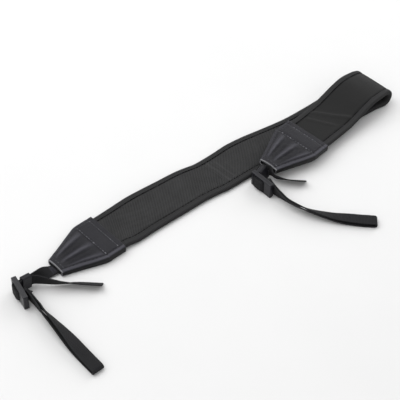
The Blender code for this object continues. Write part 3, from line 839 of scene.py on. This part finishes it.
def leather_look(name, dark, light, edge, rough):
    """Grained leather: pebbles, fine pores, creases and paler ridges: a third colour where the mesh's value
    is high, which is painted highlight on the tabs' tops and wear on the soles.
    """
    made, tree, shader = new_look(name)
    flat = millimetres(tree)
    bent = add(tree, "VectorMath", {0: flat}, operation="ADD")
    waves = add(tree, "TexNoise", {"Vector": flat, "Scale": 0.9}).outputs["Color"]
    tree.links.new(waves, bent.inputs[1])
    inputs = {"Vector": bent.outputs[0], "Scale": 1.25}
    pebbles = add(tree, "TexVoronoi", inputs, feature="DISTANCE_TO_EDGE").outputs["Distance"]
    grain = add(tree, "MapRange", {"Value": pebbles, "From Max": 0.16}).outputs[0]
    pores = clouds(tree, flat, 4.5, 2.0)
    patches = clouds(tree, flat, 0.13, 4.0)
    tone = weighted(tree, (grain, 0.35), (patches, 0.65))
    colour = shades(tree, tone, (0.20, dark), (0.75, light))
    # Painted highlight and painted shade on the tabs' tops, wear on the soles: the third colour where the
    # mesh's value is high, less of it in the tops' seams and pleat valleys
    colour = blended(tree, wear_and_light_of(tree), colour, edge)
    rougher = spread(tree, weighted(tree, (patches, 0.7), (pores, 0.3)), *rough)
    normal = relief(tree, grain, 0.00009, relief(tree, pores, 0.00005, relief(tree, patches, 0.0005)))
    connect(tree, shader, colour, rougher, normal, 0.22)
    return made


def plastic_look(name, dark, light):
    """Moulded plastic: a fine sparked grain, faint flow marks and scuffs."""
    made, tree, shader = new_look(name)
    source = add(tree, "TexCoord").outputs["Object"]
    grain = clouds(tree, source, 2600.0, 2.0)
    flow = clouds(tree, source, 130.0, 3.0)
    inputs = {"Vector": source, "Scale": 420.0, "Detail": 6.0, "Roughness": 0.75}
    scuffs = add(tree, "TexNoise", inputs).outputs["Fac"]
    marks = add(tree, "MapRange", {"Value": scuffs, "From Min": 0.60, "From Max": 0.72}).outputs[0]
    colour = shades(tree, flow, (0.30, dark), (0.75, light))
    colour = blended(tree, calc(tree, "MULTIPLY", marks, 0.35), colour, tuple(2.4 * value for value in light))
    rougher = calc(tree, "ADD", spread(tree, flow, 0.28, 0.40), calc(tree, "MULTIPLY", marks, 0.12))
    normal = relief(tree, grain, 0.00003, relief(tree, flow, 0.00008))
    connect(tree, shader, colour, rougher, normal, 0.32)
    return made


def floor_look():
    """Pale seamless paper."""
    made, tree, shader = new_look("studio_paper")
    source = add(tree, "TexCoord").outputs["Object"]
    tone = clouds(tree, source, 9.0, 3.0)
    colour = shades(tree, tone, (0.2, (0.69, 0.69, 0.69)), (0.8, (0.71, 0.71, 0.71)))
    fibres = relief(tree, clouds(tree, source, 900.0), 0.00002)
    connect(tree, shader, colour, spread(tree, tone, 0.85, 0.95), fibres, 0.1)
    return made


def grey(value, blue=None):
    """A grey, with its own blue if it is given."""
    return (value, value, value if blue is None else blue)


# Cloths, from threads in millimetres, their turn in degrees and their depth. Tapes, from the ribs' size
PAD = cloth_look(
    "pad_mesh", grey(0.0015), grey(0.055, 0.056), (1.25, 1.25), 45, 0.00035, (0.62, 0.86), 0.02, True
)
LINING = cloth_look("pad_satin", grey(0.014), grey(0.022, 0.0222), (0.5, 0.5), 0, 0.00004, (0.45, 0.6), 0.02)
WEB = cloth_look(
    "narrow_webbing", grey(0.008, 0.0085), grey(0.031, 0.033), (0.9, 1.15), 0, 0.00016, (0.6, 0.85), 0.02
)
TAPE = tape_look("binding_tape", grey(0.012, 0.0125), grey(0.042, 0.043), 1.25, 0.00014, 0.02)
THREAD = tape_look("dark_thread", grey(0.002), grey(0.006, 0.0065), 0.35, 0.00004, 0.1)
PALE_THREAD = tape_look("pale_thread", grey(0.035, 0.040), grey(0.10, 0.11), 0.35, 0.00004, 0.05)
TACK_THREAD = tape_look("tack_thread", grey(0.012, 0.016), (0.040, 0.039, 0.048), 0.35, 0.00004, 0.05)
# Leathers and plastic, from dark to light. A leather's third colour is the painted highlight on the tops'
# pleat ridges, margins and rims, and the paler wear on the soles' edges
LEATHER = leather_look(
    "tab_leather", (0.0032, 0.0031, 0.0046), (0.0088, 0.0086, 0.012), (0.064, 0.063, 0.077), (0.34, 0.56)
)
LEATHER_SIDE = leather_look(
    "tab_leather_side", grey(0.0035, 0.0038), grey(0.0095, 0.0105), grey(0.05, 0.055), (0.45, 0.65)
)
# The rims' look: the cut edge's paler colour, brightened further as a painted highlight on the rounded rims
CUT_EDGE_HIGHLIGHT = leather_look("tab_leather_cut_highlight", grey(0.10, 0.11), grey(0.19, 0.20), grey(0.24, 0.25), (0.5, 0.75))
PLASTIC = plastic_look("moulded_plastic", grey(0.0055, 0.0077), grey(0.0105, 0.014))


# Meshes

def settle(mesh, name, looks, crisp=35):
    """A mesh as a piece on the body, smooth but for its sharp edges."""
    bmesh.ops.recalc_face_normals(mesh, faces=mesh.faces)
    data = bpy.data.meshes.new(name)
    mesh.to_mesh(data)
    mesh.free()
    for look in looks:
        data.materials.append(look)
    data.shade_smooth()
    data.set_sharp_from_angle(angle=radians(crisp))
    made = bpy.data.objects.new(name, data)
    bpy.context.scene.collection.objects.link(made)
    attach(made, "root")
    return made


def skin_into(mesh, stations, profiles, wear_and_light_rows=None, edges=(), rim=0):
    """A capped skin through a profile at every station. Its second look is on the faces at these
    edges of the profile and on the last few stations' faces.
    """
    chart = mesh.loops.layers.uv.get("UVMap") or mesh.loops.layers.uv.new("UVMap")
    wear_and_painted_light = mesh.verts.layers.float.get("wear_and_painted_light") or mesh.verts.layers.float.new("wear_and_painted_light")
    runs = [run * 1000 for run in runs_of(station[0] for station in stations)]
    rings = []
    rounds = []
    for i, ((centre, side, up), profile) in enumerate(zip(stations, profiles)):
        ring = [mesh.verts.new(centre + side * s + up * h + SHIFT) for s, h in profile]
        if wear_and_light_rows:
            for point, value in zip(ring, wear_and_light_rows[i]):
                point[wear_and_painted_light] = value
        rings.append(ring)
        around = [0.0]
        for k in range(len(profile)):
            step = (Vector(profile[k]) - Vector(profile[k - 1])).length
            around.append(around[-1] + step * 1000)
        rounds.append(around)
    for i in range(len(rings) - 1):
        for k in range(len(rings[i])):
            corners = ((i, k - 1, k), (i, k, k + 1), (i + 1, k, k + 1), (i + 1, k - 1, k))
            face = mesh.faces.new([rings[a][b] for a, b, _ in corners])
            for loop, (a, _, c) in zip(face.loops, corners):
                loop[chart].uv = (rounds[a][c], runs[a])
            face.material_index = 1 if k in edges or i >= len(rings) - rim else 0
    for ring, profile, low in ((rings[0], profiles[0], 0), (rings[-1], profiles[-1], runs[-1])):
        face = mesh.faces.new(ring)
        for loop, (s, h) in zip(face.loops, profile):
            loop[chart].uv = (s * 1000, low + h * 1000)
        face.material_index = 1 if rim and ring is rings[-1] else 0


def skin(name, stations, profiles, looks, wear_and_light_rows=None, edges=(), crisp=35, rim=0):
    """One closed skin as a piece."""
    mesh = bmesh.new()
    skin_into(mesh, stations, profiles, wear_and_light_rows, edges, rim)
    return settle(mesh, name, looks, crisp)


# A stitch along its length. Columns: along a share of the length, thick and lift shares of the radius
STITCH_SHAPE = [(0.0, 0.45, -0.9), (0.12, 0.9, 0.1), (0.5, 1.0, 0.5), (0.88, 0.9, 0.1), (1.0, 0.45, -0.9)]
# Stitches thicker than this are paler here and there
THICK_THREAD = 0.0002


def stitches(piece, name, rows, look):
    """A piece's stitches, which go with it. A row is a start, an end, the way out and a radius."""
    mesh = bmesh.new()
    for start, end, out, radius in rows:
        way = (end - start).normalized()
        side = way.cross(out).normalized()
        up = side.cross(way)
        length = (end - start).length
        stations = []
        profiles = []
        for along, thick, lift in STITCH_SHAPE:
            stations.append((start + way * length * along + up * radius * lift, side, up))
            ring = [(cos(pi * k / 3) * radius * thick, sin(pi * k / 3) * radius * thick) for k in range(6)]
            profiles.append(ring)
        worn_and_lit = random.uniform(0.0, 0.9) ** 2 if radius > THICK_THREAD else 0.0
        skin_into(mesh, stations, profiles, [[worn_and_lit] * 6] * len(STITCH_SHAPE))
    settle(mesh, name, [look], 60).parent = piece


# The band

left_tab = tab_frame(Vector((0, 0, 0)), LEFT_TAB_YAW, 0)
right_tab = right_tab_frame()
band_line = band_rows_in(left_tab, (1.0, 0.5, 0.0, -0.3)) + lower_rows() + fold_rows()
band_line += upper_rows() + band_rows_in(right_tab, (-0.3, 0.0, 0.5, 1.0))


def frame_shift():
    """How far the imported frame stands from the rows' own origin."""
    spots = ((PAD_FACE, HALF_THICKNESS), (PAD_EDGE, PAD_RIM))
    corners = [(a * s, b * h) for a in (-1, 1) for b in (-1, 1) for s, h in spots]
    points = []
    for centre, side, up in frames(smooth(band_line, BAND_STEPS), square=False):
        points += [centre + side * s + up * h for s, h in corners]
    least = Vector([min(point[axis] for point in points) for axis in range(3)])
    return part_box("neck_pad")[0] - least


SHIFT = frame_shift()
band = frames(smooth(band_line, BAND_FINE), square=False)
band_runs = runs_of(station[0] for station in band)


def swell(distance, across, table):
    """The height of the creases or wrinkles at a point of the band."""
    total = 0.0
    for along, slant, least, most, depth, width in table:
        line = along + slant * across / CREASE_SPAN
        waver = WAVER * sin(across * 420 + along * 900)
        total += depth * bump_at(distance - line - waver, width) * held(across, least, most, CREASE_FADE)
    return total


def ripple(distance, across):
    """Slow unevenness of the padding."""
    slow = sin(distance * 74 + across * 60) + 0.6 * sin(distance * 131 - across * 95 + 1.3)
    return RIPPLE_HEIGHT * slow


def pad_section(run):
    """The pad's section at a distance along the band, and its painted highlights beside the creases and on
    the wrinkles: the mesh on top, the satin below.
    """
    top = []
    worn_and_lit = []
    for k in range(PAD_COLUMNS + 1):
        across = PAD_FACE * (1 - 2 * k / PAD_COLUMNS)
        sunk = CHANNEL_DEPTH * held(abs(across), PAD_FACE - CHANNEL_WIDTH, 1.0, CHANNEL_SOFT)
        sunk += PAD_CROWN * (across / PAD_FACE) ** 2
        wrinkle = swell(run, across, WRINKLES)
        up_face = HALF_THICKNESS - sunk - swell(run, across, CREASES) - abs(ripple(run, across))
        down_face = HALF_THICKNESS - sunk + wrinkle - abs(ripple(run + 0.4, across))
        top.append((across, up_face, down_face))
        # Painted highlight: paler beside each crease and along each wrinkle, where light catches them
        crease_highlight = CREASE_GLOW * min(1.0, swell(run - GLOW_BESIDE, across, CREASES) / GLOW_DEPTH)
        worn_and_lit.append((crease_highlight, WRINKLE_GLOW * min(1.0, wrinkle / GLOW_DEPTH)))
    rim = [(PAD_EDGE, PAD_RIM), (PAD_FACE, PAD_RIM)]
    upper = rim + [(s, u) for s, u, _ in top] + [(-s, h) for s, h in reversed(rim)]
    lower = [(-s, -h) for s, h in rim] + [(s, -d) for s, _, d in reversed(top)]
    lower += [(s, -h) for s, h in reversed(rim)]
    wear_and_painted_light = [0, 0] + [a for a, _ in worn_and_lit] + [0, 0, 0, 0] + [b for _, b in reversed(worn_and_lit)] + [0, 0]
    return upper + lower, wear_and_painted_light


def add_pad():
    """The padded cloth between the two bindings, with its creases, wrinkles and sunk seams."""
    profiles, wear_and_light_rows = zip(*[pad_section(run) for run in band_runs])
    lined = range(PAD_COLUMNS + 6, len(profiles[0]) - 1)
    made = skin("pad_cover", band, profiles, [PAD, LINING], wear_and_light_rows, lined, crisp=50)
    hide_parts("neck_pad")


def binding_profile(sign, run):
    """A folded tape's section round the edge: rounded outside, open inside."""
    half = HALF_THICKNESS
    edge = BAND_WIDTH / 2
    face = edge - BINDING_WIDTH
    thick = BINDING_THICKNESS
    puff = 0.00004 * sin(run * 820) - 0.00004
    outer = [(face, half - 0.00025), (face + 0.0003, half - 0.00002), (face + 0.0009, half - 0.00016)]
    outer += [(face + 0.0016, half + puff / 2), (edge - 0.0021, half + puff), (edge - 0.0011, half - 0.0002)]
    outer += [(edge - 0.0004, half - 0.0007), (edge - 0.00005, half - 0.0014)]
    outer += [(s, -h) for s, h in reversed(outer)]
    inner = [(face, half - thick), (edge - thick - 0.0007, half - thick)]
    inner.append((edge - thick, half - thick - 0.0005))
    inner = [(s, -h) for s, h in inner] + [(s, h) for s, h in reversed(inner)]
    return [(sign * s, h) for s, h in outer + inner]


def add_bindings():
    """The two bindings and the stitch rows that hold them, on both faces."""
    first = TAB_STRAIGHT + SEAM_CLEAR
    last = band_runs[-1] - TAB_STRAIGHT - SEAM_CLEAR
    for name, sign in (("far", 1), ("near", -1)):
        profiles = [binding_profile(sign, run) for run in band_runs]
        worn_and_lit = [0, 0.15, 0, 0.03, 0.08, 0.04, 0.0, 0]
        worn_and_lit = worn_and_lit + worn_and_lit[::-1] + [0] * (len(profiles[0]) - 2 * len(worn_and_lit))
        wear_and_light_rows = [worn_and_lit] * len(profiles)
        made = skin("binding_" + name, band, profiles, [TAPE], wear_and_light_rows, crisp=60)
        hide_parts("edge_binding_" + name)
        rows = []
        distance = first
        while distance + SEAM_ROOM < last:
            for face in (1, -1):
                ends = []
                for run in (distance, distance + SEAM_STITCH + random.uniform(-0.0001, 0.0001)):
                    centre, side, up = place_at(band, band_runs, run)
                    level = up * face * (HALF_THICKNESS - SEAM_DEPTH)
                    ends.append(centre + side * sign * SEAM_ACROSS + level)
                rows.append((*ends, up * face, SEAM_RADIUS))
            distance += STITCH_PITCH
        stitches(made, "binding_stitches_" + name, rows, THREAD)


# The tabs

def pleat_shape(share):
    """The pleats across a tab, from 0 to 1: each rises slowly and falls steeply on its near side."""
    place = (share + 1) * PLEAT_COUNT / 2
    place -= floor(place)
    turn = place / 0.70 / 2 if place < 0.70 else 0.5 + (place - 0.70) / 0.30 / 2
    return (0.5 - 0.5 * cos(2 * pi * turn)) ** 1.6


def top_height(along, share):
    """The leather's height over the sole's underside, with its pleats and sunk seams."""
    taper = tab_taper(along)
    half = tab_half_width(along)
    inward = half * (1 - abs(share))
    inside = held(inward, TAB_HEM + 0.0006, 1.0, 0.0012)
    pleat = PLEAT_HEIGHT * sin(pi * min(1.0, 1.2 * taper)) ** 0.6 if taper > 0 else 0.0
    height = tab_height(along) + TAB_MOUTH_ARCH * taper * (1 - share**2)
    height += pleat * (1.75 * pleat_shape(share) - 0.25) * mix(0.2, 1.0, inside)
    boxed = held(along, TAB_END_SEAM + 0.001, TAB_SEAM - 0.001, 0.003)
    height += TAB_PUFF * boxed * inside * (1 - 0.4 * share**2)
    height -= TAB_EDGE_FALL * max(0.0, 1 - inward / TAB_HEM)
    uneven = TAB_WAVE * sin(along * 700 + share * 5) * sin(share * 9 + along * 240)
    height += uneven * held(along, 0.02, 0.05, 0.006)
    height -= TAB_SEAM_SINK * bump_at(along - TAB_SEAM, 0.0008)
    height -= TAB_LINE_SINK * bump_at(along - TAB_END_SEAM, 0.0007)
    height -= TAB_LINE_SINK * bump_at(inward - TAB_HEM, 0.0006)
    return height


def bevel_drop(inward, radius):
    """How far a rounded rim falls this far in from its edge."""
    if inward >= radius:
        return 0.0
    return radius - (radius**2 - (radius - inward) ** 2) ** 0.5


def tab_places(count):
    """Distances along a tab, closer together at its two ends."""
    rim = [0.0, 0.00008, 0.00025, 0.0005]
    middle = [mix(0.0008, TAB_LENGTH - 0.0008, k / count) for k in range(count + 1)]
    return rim + middle + [TAB_LENGTH - place for place in reversed(rim)]


def tab_painted_light(along, share, inward, from_end):
    """The top's painted light: painted highlight on its pleats' ridges, its margins (more on the near one)
    and its rims, and painted shade in its pleats' valleys and its seams.
    """
    taper = tab_taper(along)
    # Painted light on the top: highlight on pleat ridges, margins and rims, shade in pleat valleys and seams
    value = 0.09
    if taper > 0:
        value = mix(value, 0.70 * pleat_shape(share) ** 2, sin(pi * min(1.0, 1.15 * taper)) ** 0.5)
    value = mix(value, 0.02, bump_at(along - TAB_SEAM - 0.0009, 0.0009))
    value = mix(value, 0.75 if share > 0 else 0.25, held(inward, 0.0003, TAB_HEM - 0.0004, 0.0006))
    value = mix(value, 0.02, bump_at(inward - TAB_HEM, 0.0005))
    return min(1.0, max(value, 0.5 * bump_at(min(from_end, inward), 0.0004)))


def top_section(along):
    """The top panel's section, with rounded rims, and its painted highlight and shade."""
    half = tab_half_width(along)
    from_end = min(along, TAB_LENGTH - along)
    upper = []
    worn_and_lit = []
    for k in range(TAB_POINTS + 1):
        share = 2 * k / TAB_POINTS - 1
        share = share * (1.35 - 0.35 * share * share)
        inward = half * (1 - abs(share))
        height = top_height(along, share) - bevel_drop(min(from_end, inward), TAB_RIM)
        upper.append((share * half, height))
        worn_and_lit.append(tab_painted_light(along, share, inward, from_end))
    under = []
    for k in range(TAB_COLUMNS + 1):
        share = 1 - 2 * k / TAB_COLUMNS
        under.append((share * half, tab_under(along, share) + bevel_drop(from_end, TAB_RIM) * 0.5))
    return upper + under, worn_and_lit + [0.4] * len(under)


def tab_under(along, share):
    """The underside of the top panel, as the solids have it."""
    taper = tab_taper(along)
    pleat = PLEAT_HEIGHT * sin(pi * min(1.0, 1.15 * taper)) ** 0.8 if taper > 0 else 0.0
    ridge = 0.5 - 0.5 * cos(PLEAT_COUNT * pi * (share + 1))
    height = tab_height(along) + pleat * ridge + TAB_MOUTH_ARCH * taper * (1 - share**2)
    return height - LEATHER_THICKNESS


def sole_section(along):
    """The section of the tray under the tab, a sole and two walls with rounded edges, and its wear."""
    half = tab_half_width(along)
    wall = tab_height(along) - SOLE
    right = [(half - 0.0012, 0), (half - 0.0006, 0.00012), (half - 0.00015, 0.0005), (half, 0.0012)]
    right += [(half + SOLE_BULGE, wall * 0.45), (half + SOLE_BULGE, wall * 0.7)]
    right += [(half, wall - 0.0006), (half - 0.0002, wall)]
    right += [(half - LEATHER_THICKNESS, wall), (half - LEATHER_THICKNESS, LEATHER_THICKNESS)]
    worn_and_lit = [0.1, 0.2, 0.2, 0.05, 0, 0, 0, 0.15, 0.1, 0]
    return right + [(-s, h) for s, h in reversed(right)], worn_and_lit + worn_and_lit[::-1]


def tab_skin(name, tab, count, section, looks, crisp, rim):
    """A panel of a tab, from its section and wear at every place along it."""
    places = tab_places(count)
    turn = tab.to_3x3()
    stations = [(tab_point(tab, along), turn @ Vector((0, 1, 0)), turn @ UP) for along in places]
    profiles, wear_and_light_rows = zip(*[section(along) for along in places])
    return skin(name, stations, profiles, looks, wear_and_light_rows, crisp=crisp, rim=rim)


def tab_stitch_rows(tab, under):
    """Stitches across a tab and along its long edges, on its top or under its sole."""

    def at(along, share):
        height = SOLE_FACE if under else top_height(along, share)
        return tab_point(tab, along, share * tab_half_width(along), height)

    def across(seam, place, thick):
        half = tab_half_width(seam)
        return at(seam, place / half), at(seam, (place + TAB_STITCH) / half), out, thick

    out = tab.to_3x3() @ (-UP if under else UP)
    rows = []
    for seam, thick in ((TAB_SEAM, SEAM_THREAD), (TAB_END_SEAM, END_SEAM_THREAD)):
        reach = tab_half_width(seam) - TAB_HEM
        place = -reach
        while place + TAB_ROOM < reach:
            rows.append(across(seam, place, SOLE_THREAD if under else thick))
            place += STITCH_PITCH
    if not under:
        rows += [across(MOUTH_TACK, place, MOUTH_THREAD) for place in MOUTH_TACKS]
    for way in (-1, 1):
        along = TAB_END_SEAM + 0.0004
        while along + TAB_ROOM < TAB_LENGTH - 0.001:
            ends = []
            for place in (along, along + TAB_STITCH):
                ends.append(at(place, way * (1 - TAB_HEM / tab_half_width(place))))
            rows.append((*ends, out, SOLE_THREAD if under else SIDE_THREAD))
            along += STITCH_PITCH
    return rows


def add_tab(side, tab):
    """One tab: both panels and their stitches."""
    top = tab_skin("tab_" + side + "_panel", tab, TAB_STATIONS, top_section, [LEATHER, CUT_EDGE_HIGHLIGHT], 40, 5)
    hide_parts("tab_" + side + "_top")
    looks = [LEATHER_SIDE, CUT_EDGE_HIGHLIGHT]
    sole = tab_skin("tab_" + side + "_sole", tab, SOLE_STATIONS, sole_section, looks, 45, 2)
    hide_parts("tab_" + side + "_bottom")
    for panel, name, under in ((top, "_stitches", False), (sole, "_sole_stitches", True)):
        stitches(panel, "tab_" + side + name, tab_stitch_rows(tab, under), PALE_THREAD)


# The webbing and its hardware

def webbing_section(run):
    """A woven strip's section, its two edges notched by the picks of the weave."""
    pick = PICK_DEPTH * abs(2 * (run / PICK - floor(run / PICK)) - 1)
    edge = WEBBING_WIDTH / 2 - pick
    half = WEBBING_THICKNESS / 2
    right = [(edge, 0.0), (edge - 0.0001, half * 0.62), (edge - 0.0005, half * 0.98)]
    right += [(edge - 0.0011, half * 0.80), (edge - 0.0015, half * 0.97), (edge * 0.5, half), (0.0, half)]
    upper = right + [(-s, h) for s, h in reversed(right[:-1])]
    return upper + [(s, -h) for s, h in reversed(upper[1:-1])]


def webbing_path(tab, stand, lead_table, loop, tail):
    """The webbing's middle line in one length, threaded as the solids are."""
    whole = lead_stations(tab, stand, lead_table)
    fixed = offset_rows(whole, [-LAYER_PITCH / 2] * len(whole))
    loose = offset_rows(whole, [LAYER_PITCH / 2] * len(whole))[-3:]
    leaving = Vector(loose[0][:3]) + (Vector(loose[0][:3]) - Vector(loose[1][:3])).normalized() * KEEPER_CLEAR
    loose.insert(0, flat_row(leaving, Vector(loose[0][3:6])))
    path = fixed[:-1] + over_bar(stand, 1)[:-1] + loop_rows(stand, *loop)
    path += over_bar(stand, 0)[::-1] + loose[-2::-1]
    return path + tail_rows(loose[0], *tail)


def add_webbing(side, tab, stand, lead_table, loop, tail):
    """One side's webbing, with the bars of stitches where it leaves the tab."""
    line = frames(smooth(webbing_path(tab, stand, lead_table, loop, tail), WEBBING_FINE))
    runs = runs_of(station[0] for station in line)
    profiles = [webbing_section(run) for run in runs]
    ring = [0.12, 0.1, 0.06, 0, 0.03, 0, 0, 0, 0.03, 0, 0.06, 0.1, 0.12]
    wear_and_light_rows = [ring + ring[1:-1][::-1]] * len(profiles)
    made = skin("webbing_strip_" + side, line, profiles, [WEB], wear_and_light_rows, crisp=70)
    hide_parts("webbing_" + side)
    rows = []
    for k in range(BAR_COUNT):
        centre, way, up = place_at(line, runs, WEBBING_SEWN_LENGTH + BAR_START + BAR_PITCH * k)
        for face in (1, -1):
            level = up * face * WEBBING_THICKNESS / 2
            reach = way * BAR_REACH
            rows.append((centre - reach + level, centre + reach + level, up * face, BAR_THREAD))
    stitches(made, "webbing_tacks_" + side, rows, TACK_THREAD)


add_pad()
add_bindings()
add_tab("left", left_tab)
add_tab("right", right_tab)
mouth = tab_point(left_tab, TAB_LENGTH)
stand = glide_frame(mouth, LEFT_GLIDE_REACH, LEFT_GLIDE_YAW, LEFT_GLIDE_SLOPE)
loop = (LEFT_LOOP_ROWS, LEFT_LOOP_LENGTH, LEFT_LOOK_OPENING)
add_webbing("left", left_tab, stand, LEFT_LEAD_ROWS, loop, (LEFT_TAIL_ROWS, LEFT_TAIL_LENGTH))
mouth = tab_point(right_tab, TAB_LENGTH)
stand = glide_frame(mouth, RIGHT_GLIDE_REACH, RIGHT_GLIDE_YAW, RIGHT_GLIDE_SLOPE)
loop = (RIGHT_LOOP_ROWS, RIGHT_LOOP_LENGTH, RIGHT_LOOK_OPENING)
add_webbing("right", right_tab, stand, RIGHT_LEAD_ROWS, loop, (RIGHT_TAIL_ROWS, RIGHT_TAIL_LENGTH))
for name in ("tri_glide_left", "tri_glide_right", "keeper_left", "keeper_right"):
    for holder in frame["nodes"][name].material_slots:
        holder.material = PLASTIC


# The studio

def add_studio():
    """The paper floor, the white surround and the soft lamps, each aimed at the floor's middle."""
    mesh = bmesh.new()
    bmesh.ops.create_grid(mesh, x_segments=1, y_segments=1, size=4.0)
    data = bpy.data.meshes.new("studio_floor")
    mesh.to_mesh(data)
    mesh.free()
    data.materials.append(floor_look())
    paper = bpy.data.objects.new("studio_floor", data)
    bpy.context.scene.collection.objects.link(paper)
    world = bpy.data.worlds.new("studio_world")
    world.use_nodes = True
    sky = world.node_tree.nodes["Background"].inputs
    sky["Color"].default_value = (1.0, 1.0, 1.0, 1.0)
    sky["Strength"].default_value = WORLD_STRENGTH
    bpy.context.scene.world = world
    for name, place, size, power in LAMPS:
        lamp = bpy.data.lights.new(name, "AREA")
        lamp.shape = "SQUARE"
        lamp.size = size
        lamp.energy = power
        made = bpy.data.objects.new(name, lamp)
        made.location = place
        made.rotation_euler = Vector(place).to_track_quat("Z", "Y").to_euler()
        bpy.context.scene.collection.objects.link(made)
    bpy.context.scene.view_settings.view_transform = "Standard"


def add_camera():
    """The camera at the photograph's angle."""
    target = Vector(VIEW_TARGET) + Vector((SHIFT.x, SHIFT.y, 0))
    back = Vector(VIEW_BACK).normalized()
    lens = bpy.data.cameras.new("camera")
    lens.lens = 98.604
    lens.sensor_width = 36
    lens.shift_y = -0.0015
    made = bpy.data.objects.new("camera", lens)
    made.location = target + back * VIEW_DISTANCE
    made.rotation_euler = back.to_track_quat("Z", "Y").to_euler()
    bpy.context.scene.collection.objects.link(made)
    bpy.context.scene.camera = made


add_studio()
add_camera()
